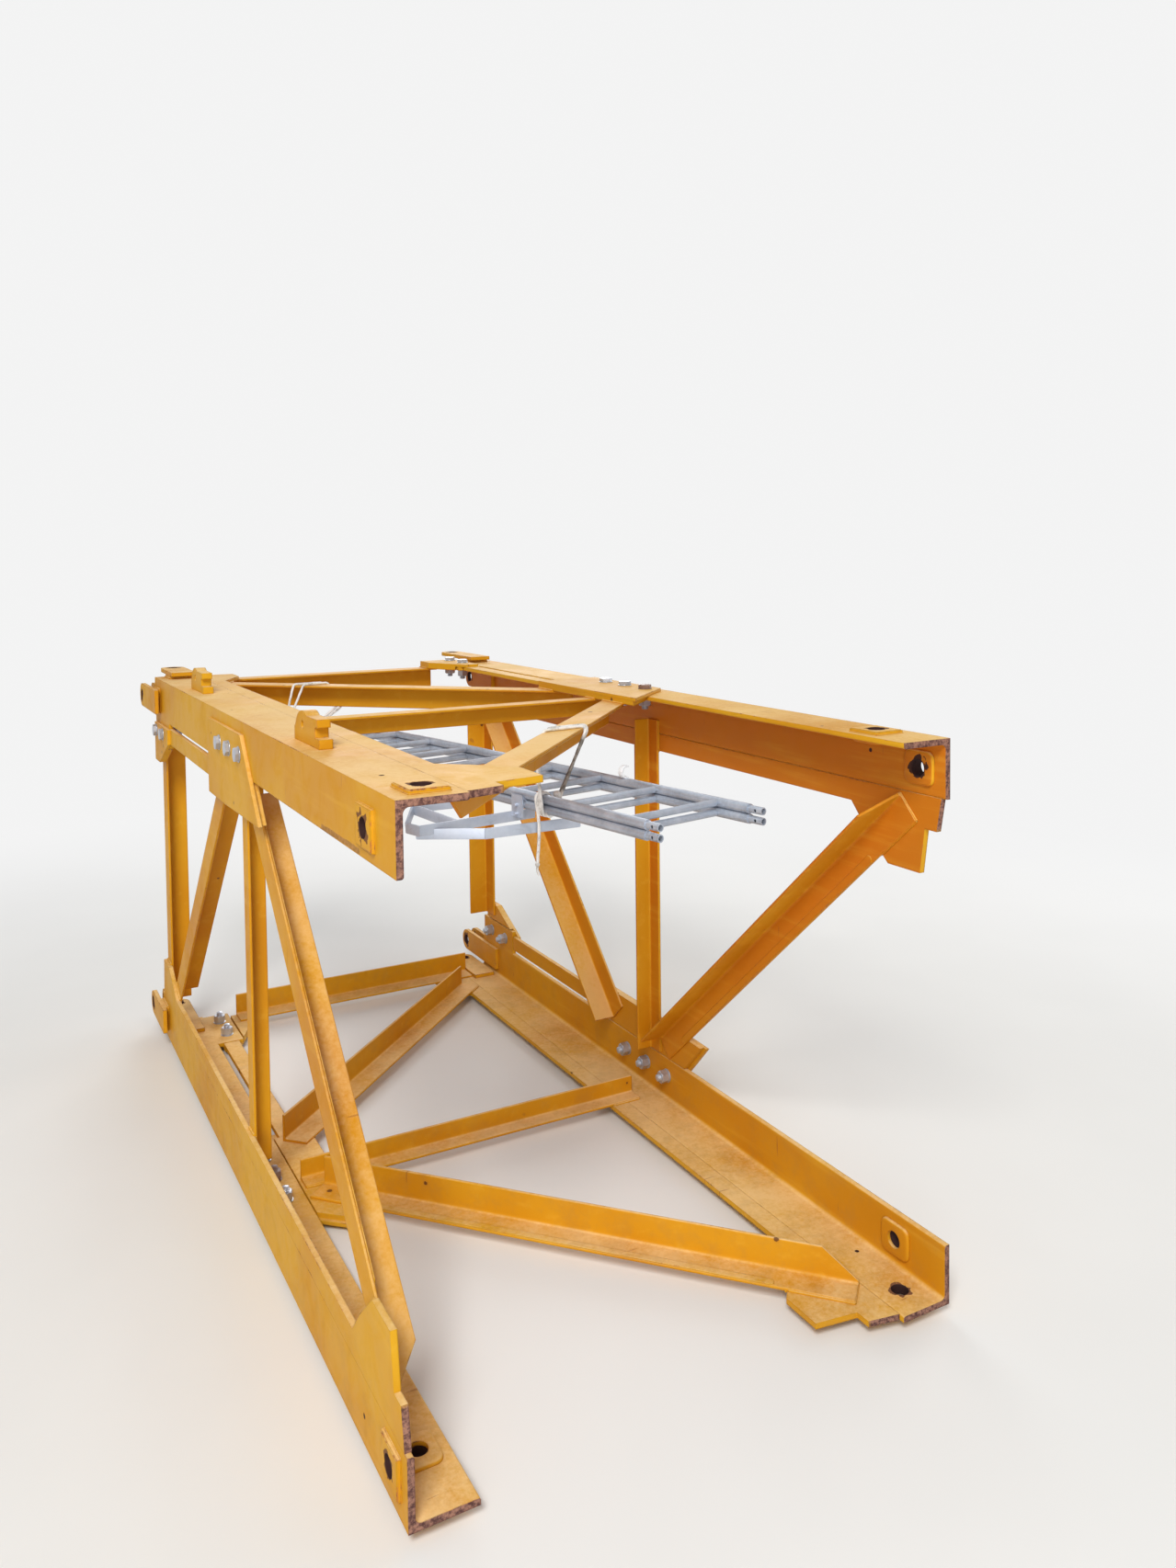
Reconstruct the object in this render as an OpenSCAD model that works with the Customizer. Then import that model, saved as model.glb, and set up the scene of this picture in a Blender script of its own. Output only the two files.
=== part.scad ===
// Lattice mast section, angle steel, lying on one flat side as it is stored
// Four heavy angle corner legs joined by four equal braced sides, each turned
// a quarter turn from the last, with two stowed access ladders lashed inside.
// Units are mm. +Y runs from the socket end to the fishplate end. +Z is up.

/* [Overall] */
// Width and height over the corner legs
mast_w = 1500; // [1400:10:1700]
// Length between the butt faces of the legs
mast_l = 3000; // [2900:10:3400]

/* [Corner legs] */
// Flange width of the leg angle
leg_b = 160; // [150:1:180]
// Flange thickness of the leg angle
leg_t = 16; // [14:1:20]
// Root radius inside the leg angle
leg_root_r = 14; // [8:1:18]
// Toe radius at the flange ends
leg_toe_r = 6; // [3:1:7]

/* [Pinned joint] */
// Bore for the joint pins
pin_d = 46; // [40:1:50]
// Distance from the corner to the pin centre line
pin_gauge = 88; // [86:1:92]
// Pin distance from the butt face on the welded flange
pin_short = 90; // [80:1:100]
// Pin distance from the butt face on the bolted flange
pin_long = 180; // [165:1:200]
// Thickness of the doubler pad round each bore
pad_t = 10; // [6:1:10]
// Side of the doubler pad across the flange
pad_w = 92; // [80:1:96]
// Side of the doubler pad along the leg
pad_l = 104; // [90:1:110]
// Bevel along the pad edges
pad_bevel = 6; // [2:1:8]

/* [Fishplates] */
// Thickness of each fishplate
ear_t = 16; // [12:1:18]
// Width of each fishplate, also its end rounding
ear_w = 96; // [90:1:98]
// Length of fishplate welded along the leg
ear_grip = 170; // [140:5:200]
// Packing between the leg and the outer fishplate
ear_pack_t = 12; // [11:1:14]
// Length of the packing on the leg
ear_pack_l = 120; // [90:5:135]

/* [Bracing] */
// In-plane flange of the bracing angles
brace_b = 90; // [75:1:95]
// Inward flange of the bracing angles
brace_h = 90; // [75:1:95]
// Thickness of the bracing angles
brace_t = 8; // [6:1:10]
// Flange width of the lighter strut angles
strut_b = 65; // [60:1:80]
// Length of the sloping cut on the inward flange at the near gusset
cope_l = 100; // [70:5:120]
// Width of the rail strip welded along the leg toe
rail_out = 62; // [40:1:70]
// Thickness of the bolted outer gussets
gusset_t = 12; // [10:1:14]
// Clearance hole for the gusset bolts
bolt_hole_d = 26; // [22:1:28]
// Pitch of the three bolts at mid length
star_pitch = 140; // [130:1:150]
// Pitch of the two bolts at the far end
far_pitch = 150; // [130:1:155]
// Distance from the corner to the three bolts
star_gauge = 96; // [92:1:100]
// Distance from the corner to the two far bolts
far_gauge = 210; // [208:1:214]

/* [Climbing steps] */
// Thickness of each climbing step
step_t = 36; // [28:1:40]
// Length of each climbing step
step_l = 235; // [220:1:250]
// Height of each climbing step
step_h = 84; // [78:1:90]
// Hole through each climbing step
step_hole_d = 22; // [16:1:26]

/* [Ladders] */
// Outside diameter of the ladder rails
rail_d = 27; // [24:0.5:30]
// Outside diameter of the rungs
rung_d = 20; // [16:0.5:22]
// Distance between rail centre lines
ladder_w = 332; // [320:1:340]
// Distance from rung to rung
rung_pitch = 250; // [240:1:260]
// Number of rungs in each ladder
rung_n = 9; // [7:1:9]
// Wall of the rail tube at its open ends
rail_wall = 3; // [2:0.5:4]

/* [View] */
// Which node to draw

/* [Hidden] */
eps = 0.3;
full_fn = 48;
pack_out = ear_pack_t + ear_t;
total_l = mast_l + pin_long + ear_w / 2;
y_near = -total_l / 2;
z_base = pack_out;
mid_y = mast_l / 2 - 10;
strut_y = mid_y - 70;
far_y = mast_l - 175;
plate_in = leg_t;
brace_d = leg_t;

// Named places along one side, across (a) and along (y)
near_a0 = leg_b;
near_reach = 372;
near_notch = 250;
near_notch_d = 42;
near_corner_y = 360;
far_rail_y = mast_l - 330;
pack_set_back = 16;
slot_w = 20;
bolt_rail_b = 60;
star_top = 37;
star_low = 284;
star_near_top = mid_y - 152;
star_near_low = mid_y - 370;
star_far = mid_y + 330;
far_g0 = mast_l - 360;
far_g1 = mast_l - 155;
far_g2 = mast_l - 50;
far_low = 337;
tab_w = 100;
tab_y0 = mast_l - 330;
tab_y1 = mast_l - 12;

// Places children on side k: 0 top, 1 right, 2 bottom, 3 left.
// Child axes: X across from the welded leg, Y along the mast, Z outward.
module on_side(k) {
    translate([0, 0, z_base + mast_w / 2])
        rotate([0, 90 * k, 0])
            translate([-mast_w / 2, y_near, mast_w / 2])
                children();
}

// Rolled angle outline with root and toe radii, heel at the origin.
module angle_outline(b, h, t, root, toe) {
    difference() {
        union() {
            square([b, t]);
            square([t, h]);
            translate([t, t])
                difference() {
                    square([root, root]);
                    translate([root, root]) circle(r = root, $fn = full_fn);
                }
        }
        translate([b - toe, t - toe])
            difference() {
                square([toe * 2, toe * 2]);
                circle(r = toe, $fn = full_fn);
            }
        translate([t - toe, h - toe])
            difference() {
                square([toe * 2, toe * 2]);
                circle(r = toe, $fn = full_fn);
            }
    }
}

// Bevelled doubler pad standing on z = 0, centred, before its bore is cut.
module pad_body() {
    linear_extrude(height = pad_t - 2)
        square([pad_w, pad_l], center = true);
    translate([0, 0, pad_t - 2])
        linear_extrude(height = 2)
            square([pad_w - pad_bevel, pad_l - pad_bevel], center = true);
}

// Corner leg k is the welded leg of side k and the bolted leg of side k - 1.
module leg(k) {
    color("goldenrod")
    on_side(k)
        difference() {
            union() {
                leg_angle();
                translate([pin_gauge, pin_short, 0]) pad_body();
                translate([0, pin_long, -pin_gauge])
                    rotate([0, -90, 0]) pad_body();
                leg_tab();
            }
            translate([pin_gauge, pin_short, -leg_t - 1])
                cylinder(d = pin_d, h = leg_t + pad_t + 2);
            translate([leg_t + 1, pin_long, -pin_gauge])
                rotate([0, -90, 0])
                    cylinder(d = pin_d, h = leg_t + pad_t + 2);
            for (i = [-1, 0, 1])
                translate([leg_t + 1, mid_y + i * star_pitch, -star_gauge])
                    rotate([0, -90, 0])
                        cylinder(d = bolt_hole_d, h = leg_t + 2);
            for (i = [-1, 1])
                translate([leg_t + 1, far_y + i * far_pitch / 2, -far_gauge])
                    rotate([0, -90, 0])
                        cylinder(d = bolt_hole_d, h = leg_t + 2);
        }
}

// The rolled angle of a leg, heel on the mast corner, running along +Y.
module leg_angle() {
    translate([0, mast_l, 0])
        rotate([90, 0, 0])
            linear_extrude(height = mast_l)
                mirror([0, 1])
                    angle_outline(leg_b, leg_b, leg_t, leg_root_r, leg_toe_r);
}

// Tab welded to the toe of the bolted flange, behind the far gusset.
module leg_tab() {
    translate([0, tab_y0, -leg_b - tab_w])
        cube([leg_t - eps, tab_y1 - tab_y0, tab_w + leg_toe_r + 1]);
}

// One fishplate outline: welded strip ending in a full round about the pin.
module ear_outline(reach) {
    difference() {
        union() {
            translate([-ear_w / 2, -ear_grip]) square([ear_w, ear_grip + reach]);
            translate([0, reach]) circle(d = ear_w, $fn = full_fn);
        }
        translate([0, reach]) circle(d = pin_d, $fn = full_fn);
    }
}

// Inner and outer fishplates with packing, standing about the flange plane z = 0.
module ear_pair(reach) {
    translate([0, 0, ear_pack_t])
        linear_extrude(height = ear_t) ear_outline(reach);
    translate([-ear_w / 2, -ear_pack_l - 20, 0])
        cube([ear_w, ear_pack_l, ear_pack_t]);
    translate([0, 0, -leg_t - ear_t])
        linear_extrude(height = ear_t) ear_outline(reach);
}

// Two pairs of fishplates at the far end of leg k.
module fishplates(k) {
    color("darkgoldenrod")
    on_side(k) {
        translate([pin_gauge, mast_l, 0]) ear_pair(pin_short);
        translate([0, mast_l, -pin_gauge])
            rotate([0, -90, 0]) ear_pair(pin_long);
    }
}

// Outline of the mid gusset, in distance from the bolted corner and along.
module star_outline() {
    polygon([[star_top, star_near_top], [star_low - 12, star_near_low],
             [star_low, star_far - 240], [star_low, star_far], [star_top, star_far]]);
}

// Outline of the far gusset, same axes.
module far_outline() {
    polygon([[leg_b + slot_w, far_g0], [leg_b + slot_w + bolt_rail_b, far_g0],
             [far_low, far_g1], [far_low, far_g2], [leg_b + slot_w, far_g2]]);
}

// Bolted side plate of side k: mid gusset, slotted rail and far gusset in one.
module bolt_plate(k) {
    color("orange")
    on_side(k)
        translate([mast_w, 0, 0])
            mirror([1, 0, 0])
                difference() {
                    union() {
                        linear_extrude(height = gusset_t) star_outline();
                        linear_extrude(height = gusset_t) far_outline();
                        translate([0, 0, -plate_in])
                            linear_extrude(height = plate_in) inner_outline();
                    }
                    for (i = [-1, 0, 1])
                        translate([star_gauge, mid_y + i * star_pitch, -1])
                            cylinder(d = bolt_hole_d, h = gusset_t + 2);
                    for (i = [-1, 1])
                        translate([far_gauge, far_y + i * far_pitch / 2, -1])
                            cylinder(d = bolt_hole_d, h = gusset_t + 2);
                }
}

// Packing behind the bolted gussets, with the rail strip between them.
module inner_outline() {
    difference() {
        intersection() {
            star_outline();
            translate([0, pack_set_back]) star_outline();
            translate([leg_b + 2, 0]) square([mast_w, mast_l]);
        }
        translate([0, star_far - 60]) square([leg_b + slot_w, mast_l]);
    }
    translate([leg_b + slot_w, star_far - 80])
        square([bolt_rail_b, tab_y0 - 8 - (star_far - 80)]);
    intersection() {
        far_outline();
        translate([leg_b + tab_w + 6, tab_y0 - 40]) square([mast_w, mast_l]);
    }
}

// Welded side plate of side k: near gusset, rail and far gusset, flush with the leg.
module weld_plate(k) {
    color("gold")
    on_side(k)
        translate([0, 0, -plate_in])
            linear_extrude(height = plate_in) weld_outline();
}

// Flush outline of the welded side plate, across and along, notched at its near edge.
module weld_outline() {
    polygon([[leg_b, 15], [near_notch, 32], [near_notch, 32 + near_notch_d],
             [near_reach, 92], [near_reach, 212], [leg_b + 131, 300],
             [leg_b + rail_out, near_corner_y], [leg_b + rail_out, far_rail_y],
             [leg_b + 150, mast_l - 170], [leg_b + 150, mast_l - 45], [leg_b, mast_l - 30]]);
}

// Bracing angle of flange b from point p to q in a side's plane, heel on the far side.
module brace(p, q, b, h) {
    len = norm(q - p);
    dir = atan2(q[1] - p[1], q[0] - p[0]);
    translate([p[0], p[1], -brace_d])
        rotate([0, 0, dir])
            mirror([0, 1, 0])
                translate([0, -b / 2, 0])
                    rotate([90, 0, 90])
                        linear_extrude(height = len)
                            mirror([0, 1])
                                angle_outline(b, h, brace_t, brace_t, brace_t / 2);
}

// Sloping cut that takes the inward flange away towards the end p of a member.
module cope(p, q) {
    dir = atan2(q[1] - p[1], q[0] - p[0]);
    translate([p[0], p[1], -brace_d])
        rotate([0, 0, dir])
            translate([0, brace_b, 0])
                rotate([90, 0, 0])
                    linear_extrude(height = brace_b * 2)
                        polygon([[-1, -brace_t - 4], [cope_l, -brace_h - 1], [-1, -brace_h - 1]]);
}

// Ends of each member, across (from the welded corner) and along.
near_p = [200, 131];
near_q = [mast_w - 199, strut_y - 64];
strut_p = [110, strut_y];
strut_q = [mast_w - 170, strut_y];
farb_p = [mast_w - 215, mid_y + 205];
farb_q = [200, mast_l - 245];
post_p = [pin_gauge + ear_w / 2 + 3, mast_l - 95];
post_q = [mast_w - 290, mast_l - 95];

module diag_near(k) {
    color("orange")
    on_side(k)
        difference() {
            brace(near_p, near_q, brace_b, brace_h);
            cope(near_p, near_q);
        }
}

module strut(k) {
    color("darkorange") on_side(k) brace(strut_p, strut_q, strut_b, strut_b);
}

module diag_far(k) {
    color("orange") on_side(k) brace(farb_q, farb_p, brace_b, brace_h);
}

module post(k) {
    color("darkorange") on_side(k) brace(post_p, post_q, brace_b, brace_h);
}

// Climbing step outline seen from the side: round back, notched near face.
module step_outline() {
    difference() {
        union() {
            translate([step_l * 0.28, 0]) square([step_l * 0.72, step_h - step_l * 0.2]);
            translate([step_l * 0.66, step_h - step_l * 0.34]) circle(r = step_l * 0.34, $fn = full_fn);
            translate([step_l * 0.08, step_h * 0.62]) square([step_l * 0.5, step_h * 0.26]);
            square([step_l * 0.3, step_h * 0.3]);
            translate([step_l * 0.16, 0]) square([step_l * 0.3, step_h * 0.8]);
        }
        translate([-step_l, -step_l * 2]) square([step_l * 4, step_l * 2]);
        translate([step_l * 0.66, step_h * 0.56]) circle(d = step_hole_d, $fn = full_fn);
    }
}

// Climbing step standing on the outer face of the top left leg.
module step(y) {
    color("gold")
    on_side(0)
        translate([leg_b * 0.3, y, 0])
            rotate([90, 0, 90])
                linear_extrude(height = step_t) step_outline();
}

// Ladder stowed flat inside the section. lift is the height of its rails.
ladder_x = 199;
ladder_y = 274;
ladder_turn = 10.3;
ladder_z = 1300;
rail_stagger = 20;
rung_start = 145;
ladder_l = (rung_n - 1) * rung_pitch + 290;
spigot_l = 48;
spigot_d = rail_d - 6;
spigot_hole_d = 9;

// One rail tube, open at both ends, with a narrowed spigot at the near end.
module rail_tube() {
    difference() {
        union() {
            translate([0, 0, spigot_l]) cylinder(d = rail_d, h = ladder_l - spigot_l);
            cylinder(d = spigot_d, h = spigot_l + 1);
        }
        translate([0, 0, -1]) cylinder(d = spigot_d - 2 * rail_wall, h = ladder_l + 2);
        translate([-rail_d, 0, spigot_l * 0.45])
            rotate([0, 90, 0]) cylinder(d = spigot_hole_d, h = 2 * rail_d);
    }
}

module ladder(lift) {
    color("silver")
    translate([ladder_x, y_near + ladder_y, z_base + lift])
        rotate([0, 0, ladder_turn]) {
            for (s = [-1, 1])
                translate([s * ladder_w / 2, -s * rail_stagger, 0])
                    rotate([-90, 0, 0]) rail_tube();
            for (i = [0 : rung_n - 1])
                translate([-ladder_w / 2 + rail_d / 2 + eps, rung_start + i * rung_pitch, 0])
                    rotate([0, 90, 0])
                        cylinder(d = rung_d, h = ladder_w - rail_d - 2 * eps);
        }
}

// Rope lashing: a closed loop of strands over a bracing angle and under the rails.
rope_d = 12;
module strand(p, q) {
    d = q - p;
    len = norm(d);
    translate(p)
        rotate([0, acos(d[2] / len), atan2(d[1], d[0])])
            translate([0, 0, -rope_d / 4])
                cylinder(d = rope_d, h = len + rope_d / 2, $fn = 8);
}

// Closed loop through a list of points in the plane y = plane_y.
module lashing(plane_y, pts) {
    color("ivory")
        for (i = [0 : len(pts) - 1]) {
            p = pts[i];
            q = pts[(i + 1) % len(pts)];
            strand([p[0], plane_y, p[1]], [q[0], plane_y, q[1]]);
        }
}

// Height of the brace top face and of the strand under the lower rails.
brace_top = z_base + mast_w - brace_d;
rope_over = brace_top + rope_d / 2 + eps;
rope_under = z_base + ladder_z - rail_d - eps - rail_d / 2 - rope_d / 2 - eps;
brace_under = brace_top - brace_h - rope_d;

// Centre of the left rail at distance y from the near butt face.
function left_rail_x(y) = ladder_x - ladder_w / 2 / cos(ladder_turn)
    - (y - ladder_y) * tan(ladder_turn);

// Centre of a diagonal at distance y along, measured from the mast centre line.
function diag_x(p, q, y) = p[0] + (y - p[1]) * (q[0] - p[0]) / (q[1] - p[1]) - mast_w / 2;

// Half the run of a diagonal's flange measured straight across.
function half_run(p, q) = brace_b / 2 * norm(q - p) / abs(q[1] - p[1]) + rope_d / 2 + eps;

module lashing_round(p, q, y) {
    rx = left_rail_x(y);
    bx = diag_x(p, q, y);
    w = half_run(p, q);
    grip = rail_d / 2 + rope_d / 2 + 2;
    lashing(y_near + y,
            [[bx - w, rope_over], [bx + w, rope_over], [bx + w, brace_under],
             [max(rx + grip, bx - w + rope_d), rope_under], [min(rx, bx) - grip, rope_under],
             [min(bx - w, rx - grip), brace_under]]);
}

near_lash_y = near_p[1] + 644;
far_lash_y = farb_q[1] - 318;
near_step_y = mast_l * 7 / 30;
far_step_y = near_step_y + mast_l / 2;

module lashing_near() {
    lashing_round(near_p, near_q, near_lash_y);
}

module lashing_far() {
    lashing_round(farb_q, farb_p, far_lash_y);
}

leg(0);  // leg_tl
leg(1);  // leg_tr
leg(2);  // leg_br
leg(3);  // leg_bl
fishplates(0);  // fishplates_tl
fishplates(1);  // fishplates_tr
fishplates(2);  // fishplates_br
fishplates(3);  // fishplates_bl
bolt_plate(0);  // bolt_plate_top
bolt_plate(1);  // bolt_plate_right
bolt_plate(2);  // bolt_plate_bottom
bolt_plate(3);  // bolt_plate_left
weld_plate(0);  // weld_plate_top
weld_plate(1);  // weld_plate_right
weld_plate(2);  // weld_plate_bottom
weld_plate(3);  // weld_plate_left
diag_near(0);  // diag_near_top
diag_near(1);  // diag_near_right
diag_near(2);  // diag_near_bottom
diag_near(3);  // diag_near_left
strut(0);  // strut_top
strut(1);  // strut_right
strut(2);  // strut_bottom
strut(3);  // strut_left
diag_far(0);  // diag_far_top
diag_far(1);  // diag_far_right
diag_far(2);  // diag_far_bottom
diag_far(3);  // diag_far_left
post(0);  // post_top
post(1);  // post_right
post(2);  // post_bottom
post(3);  // post_left
step(near_step_y);  // step_near
step(far_step_y);  // step_far
ladder(ladder_z);  // ladder_upper
ladder(ladder_z - rail_d - eps);  // ladder_lower
lashing_near();
lashing_far();
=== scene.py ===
"""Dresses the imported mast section: worn paint, zinc, bolts, weld beads, rope, floor, light and camera."""

import logging
import math
from dataclasses import dataclass, field
from enum import Enum
from functools import cache
from typing import Callable

import bpy
from bpy.types import Material, Node, NodeSocket, NodeTree, Object
from mathutils import Matrix, Vector


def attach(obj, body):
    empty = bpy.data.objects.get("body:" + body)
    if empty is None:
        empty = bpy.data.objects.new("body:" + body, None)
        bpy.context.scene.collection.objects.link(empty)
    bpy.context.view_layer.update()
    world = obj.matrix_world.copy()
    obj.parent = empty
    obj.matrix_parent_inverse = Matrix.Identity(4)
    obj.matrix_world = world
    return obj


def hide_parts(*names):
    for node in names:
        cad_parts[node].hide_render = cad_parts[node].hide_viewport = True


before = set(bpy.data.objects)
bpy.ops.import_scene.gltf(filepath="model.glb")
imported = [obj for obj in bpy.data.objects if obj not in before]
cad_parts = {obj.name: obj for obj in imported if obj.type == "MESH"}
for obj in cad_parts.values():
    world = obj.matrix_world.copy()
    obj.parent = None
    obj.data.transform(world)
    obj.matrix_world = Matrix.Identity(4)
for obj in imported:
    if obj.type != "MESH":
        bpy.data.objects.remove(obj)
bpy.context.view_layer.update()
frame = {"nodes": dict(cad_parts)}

LOG = logging.getLogger("mast_section")
Colour = tuple[float, float, float, float]
Point = tuple[float, float, float]
Run = tuple[tuple[float, float], tuple[float, float]]
Test = Callable[[Vector, Vector], bool]
WHITE: Colour = (1.0, 1.0, 1.0, 1.0)


def srgb(red: int, green: int, blue: int) -> Colour:
    """Turns a colour as written on screen, 0 to 255, into the linear colour that shaders take."""
    shares = [value / 255.0 for value in (red, green, blue)]
    return (*(s / 12.92 if s <= 0.04045 else ((s + 0.055) / 1.055) ** 2.4 for s in shares), 1.0)


class Side(Enum):
    """The four braced sides, each a quarter turn on from the last."""

    TOP = 0
    RIGHT = 1
    BOTTOM = 2
    LEFT = 3


class Light(Enum):
    """The lamps of the plain soft studio."""

    KEY = "key_softbox"
    FILL = "fill_softbox"
    RIM = "rim_softbox"
    SIDE = "side_softbox"


class Element(Enum):
    """What a selection picks."""

    EDGE = 0
    FACE = 1


@dataclass(frozen=True)
class MastSize:
    """The sizes that the part's source gives the section, in metres.

    Attributes:
        width: Over the corner legs.
        length: Between the butt faces.
        joint_reach: How far the far pins lie beyond the butt face.
        ear_width: Width of a fishplate.
        pack_out: How far the outer fishplates stand outside the legs.
        leg_wall: Thickness of the leg flange.
        gusset_wall: Thickness of the bolted gussets.
        pin_gauge: Distance of the pin bores from the leg's corner.
        own_pin: How far from the butt face a welded flange's pin bore lies.
        before_pin: How far from the butt face a bolted flange's pin bore lies.
        strut_back: How far before the middle the mid struts lie.
        upper_rail: Height of the upper ladder's rails.
        lower_rail: Height of the lower ladder's rails.
    """

    width: float = 1.5
    length: float = 3.0
    joint_reach: float = 0.18
    ear_width: float = 0.096
    pack_out: float = 0.028
    leg_wall: float = 0.016
    gusset_wall: float = 0.012
    pin_gauge: float = 0.088
    own_pin: float = 0.090
    before_pin: float = 0.180
    strut_back: float = 0.080
    upper_rail: float = 1.3280
    lower_rail: float = 1.3007

    @property
    def near_y(self) -> float:
        """Where the near butt face stands."""
        return -(self.length + self.joint_reach + self.ear_width / 2) / 2

    def on_side(self, side: Side) -> Matrix:
        """Gives the matrix from a side's own axes to the section's frame.

        Args:
            side: The side, whose own axes are across, along and outward.

        Returns:
            The matrix that places a point of that side.
        """
        lift = Matrix.Translation((0, 0, self.pack_out + self.width / 2))
        turn = Matrix.Rotation(math.radians(90) * side.value, 4, "Y")
        return lift @ turn @ Matrix.Translation((-self.width / 2, self.near_y, self.width / 2))


SIZE = MastSize()


def seated(side: Side, across: float, along: float, out: float, turn: float = 0.0, flip: bool = False) -> Matrix:
    """Gives the place of something on a side, turned by degrees about its outward +Z or flipped to point inwards."""
    matrix = SIZE.on_side(side) @ Matrix.Translation((across, along, out)) @ Matrix.Rotation(math.radians(turn), 4, "Z")
    return matrix @ Matrix.Rotation(math.pi, 4, "X") if flip else matrix


def aimed(way: Vector, axis: str = "X", up: str = "Z") -> Matrix:
    """Gives the turn that points an axis along a way."""
    return way.to_track_quat(axis, up).to_matrix().to_4x4()


def put(data: bpy.types.ID, place: Matrix) -> Object:
    """Puts data into the scene at a place, as an object of the same name.

    Args:
        data: A curve, a lamp or a camera.
        place: Where it stands.

    Returns:
        The object.
    """
    made = bpy.data.objects.new(data.name, data)
    bpy.context.scene.collection.objects.link(made)
    made.matrix_world = place
    return made


class ShaderSheet:
    """One node tree that is being filled, with short calls for the usual nodes."""

    ROW = 12
    PITCH = (180, 260)

    def __init__(self, tree: NodeTree) -> None:
        """Starts with an empty tree."""
        tree.nodes.clear()
        self.tree = tree

    @classmethod
    def blank(cls, name: str) -> tuple[Material, "ShaderSheet", NodeSocket]:
        """Starts a material.

        Args:
            name: Its name.

        Returns:
            The material, its sheet and the object coordinates.
        """
        material = bpy.data.materials.new(name)
        material.use_nodes = True
        sheet = cls(material.node_tree)
        return material, sheet, sheet.add("ShaderNodeTexCoord").outputs["Object"]

    def add(self, kind: str, feeds: dict[str | int, object] | None = None, **settings: object) -> Node:
        """Adds a node.

        Args:
            kind: The node's type name.
            feeds: An output socket or a plain value for each input.
            **settings: Properties to set on it first.

        Returns:
            The new node.
        """
        row, column = divmod(len(self.tree.nodes), self.ROW)
        node = self.tree.nodes.new(kind)
        node.location = (column * self.PITCH[0], -row * self.PITCH[1])
        for name, value in settings.items():
            setattr(node, name, value)
        for socket, value in (feeds or {}).items():
            if isinstance(value, NodeSocket):
                self.tree.links.new(value, node.inputs[socket])
            else:
                node.inputs[socket].default_value = value
        return node

    def math(self, operation: str, first: object, second: object = 0.0, clamp: bool = False) -> NodeSocket:
        """Calculates with one or two values, and keeps the result within 0 and 1 where clamp says so."""
        return self.add("ShaderNodeMath", {0: first, 1: second}, operation=operation, use_clamp=clamp).outputs[0]

    def times(self, first: object, second: object, clamp: bool = False) -> NodeSocket:
        """Multiplies two values."""
        return self.math("MULTIPLY", first, second, clamp)

    def vector(self, operation: str, first: object, second: object = None) -> NodeSocket:
        """Calculates with one or two vectors.

        Args:
            operation: The operation's name.
            first: First vector.
            second: Second vector, or the factor of SCALE.

        Returns:
            A number for DOT_PRODUCT, DISTANCE and LENGTH, and otherwise a vector.
        """
        feeds = {0: first} if second is None else {0: first, "Scale" if operation == "SCALE" else 1: second}
        node = self.add("ShaderNodeVectorMath", feeds, operation=operation)
        return node.outputs["Value" if operation in ("DOT_PRODUCT", "DISTANCE", "LENGTH") else "Vector"]

    def axis(self, vector: object, name: str) -> NodeSocket:
        """Takes one number, X, Y or Z, out of a vector."""
        return self.add("ShaderNodeSeparateXYZ", {0: vector}).outputs[name]

    def normal(self) -> NodeSocket:
        """Gives the surface's own normal."""
        return self.add("ShaderNodeNewGeometry").outputs["Normal"]

    def ramp(self, value: object, low: float, high: float, start: float = 0.0, end: float = 1.0) -> NodeSocket:
        """Maps low and high of a value to start and end, with soft ends."""
        feeds = {"Value": value, "From Min": low, "From Max": high, "To Min": start, "To Max": end}
        return self.add("ShaderNodeMapRange", feeds, interpolation_type="SMOOTHSTEP").outputs["Result"]

    def noise(self, coords: object, scale: float, detail: float, rough: float, warp: float = 0.0) -> NodeSocket:
        """Adds noise, about 0.2 to 0.8, of so many cells a metre and octaves."""
        feeds = {"Vector": coords, "Scale": scale, "Detail": detail, "Roughness": rough, "Distortion": warp}
        return self.add("ShaderNodeTexNoise", feeds).outputs["Fac"]

    def streaks(self, coords: object, scale: Point, detail: float, rough: float) -> NodeSocket:
        """Adds noise with its own number of cells a metre along each axis, as for scratches and runs."""
        stretched = self.add("ShaderNodeMapping", {"Vector": coords, "Scale": scale}).outputs["Vector"]
        return self.noise(stretched, 1.0, detail, rough)

    def cells(self, coords: object, scale: object) -> tuple[NodeSocket, NodeSocket, NodeSocket]:
        """Adds cells, and gives the distance to each one's middle and two numbers drawn for it."""
        cells = self.add("ShaderNodeTexVoronoi", {"Vector": coords, "Scale": scale}).outputs
        return cells["Distance"], *self.add("ShaderNodeSeparateColor", {0: cells["Color"]}).outputs[:2]

    def blend(self, share: object, below: object, above: object) -> NodeSocket:
        """Mixes two colours, which a Mix node takes at inputs 6 and 7, by the share of the second."""
        node = self.add("ShaderNodeMix", {0: share, 6: below, 7: above}, data_type="RGBA", clamp_factor=True)
        return node.outputs[2]

    def coats(self, tone: object, *layers: tuple[object, float, object]) -> NodeSocket:
        """Lays colours over a tone, one after another.

        Args:
            tone: The colour below.
            *layers: Each coat's mask, strength and colour.

        Returns:
            The colour on top.
        """
        for mask, strength, colour in layers:
            tone = self.blend(self.times(mask, strength), tone, colour)
        return tone

    def effect(self, tree: NodeTree, coords: object, **values: object) -> bpy.types.NodeOutputs:
        """Places a shared effect and gives its outputs."""
        return self.add("ShaderNodeGroup", {"Coords": coords, **values}, node_tree=tree).outputs

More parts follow.
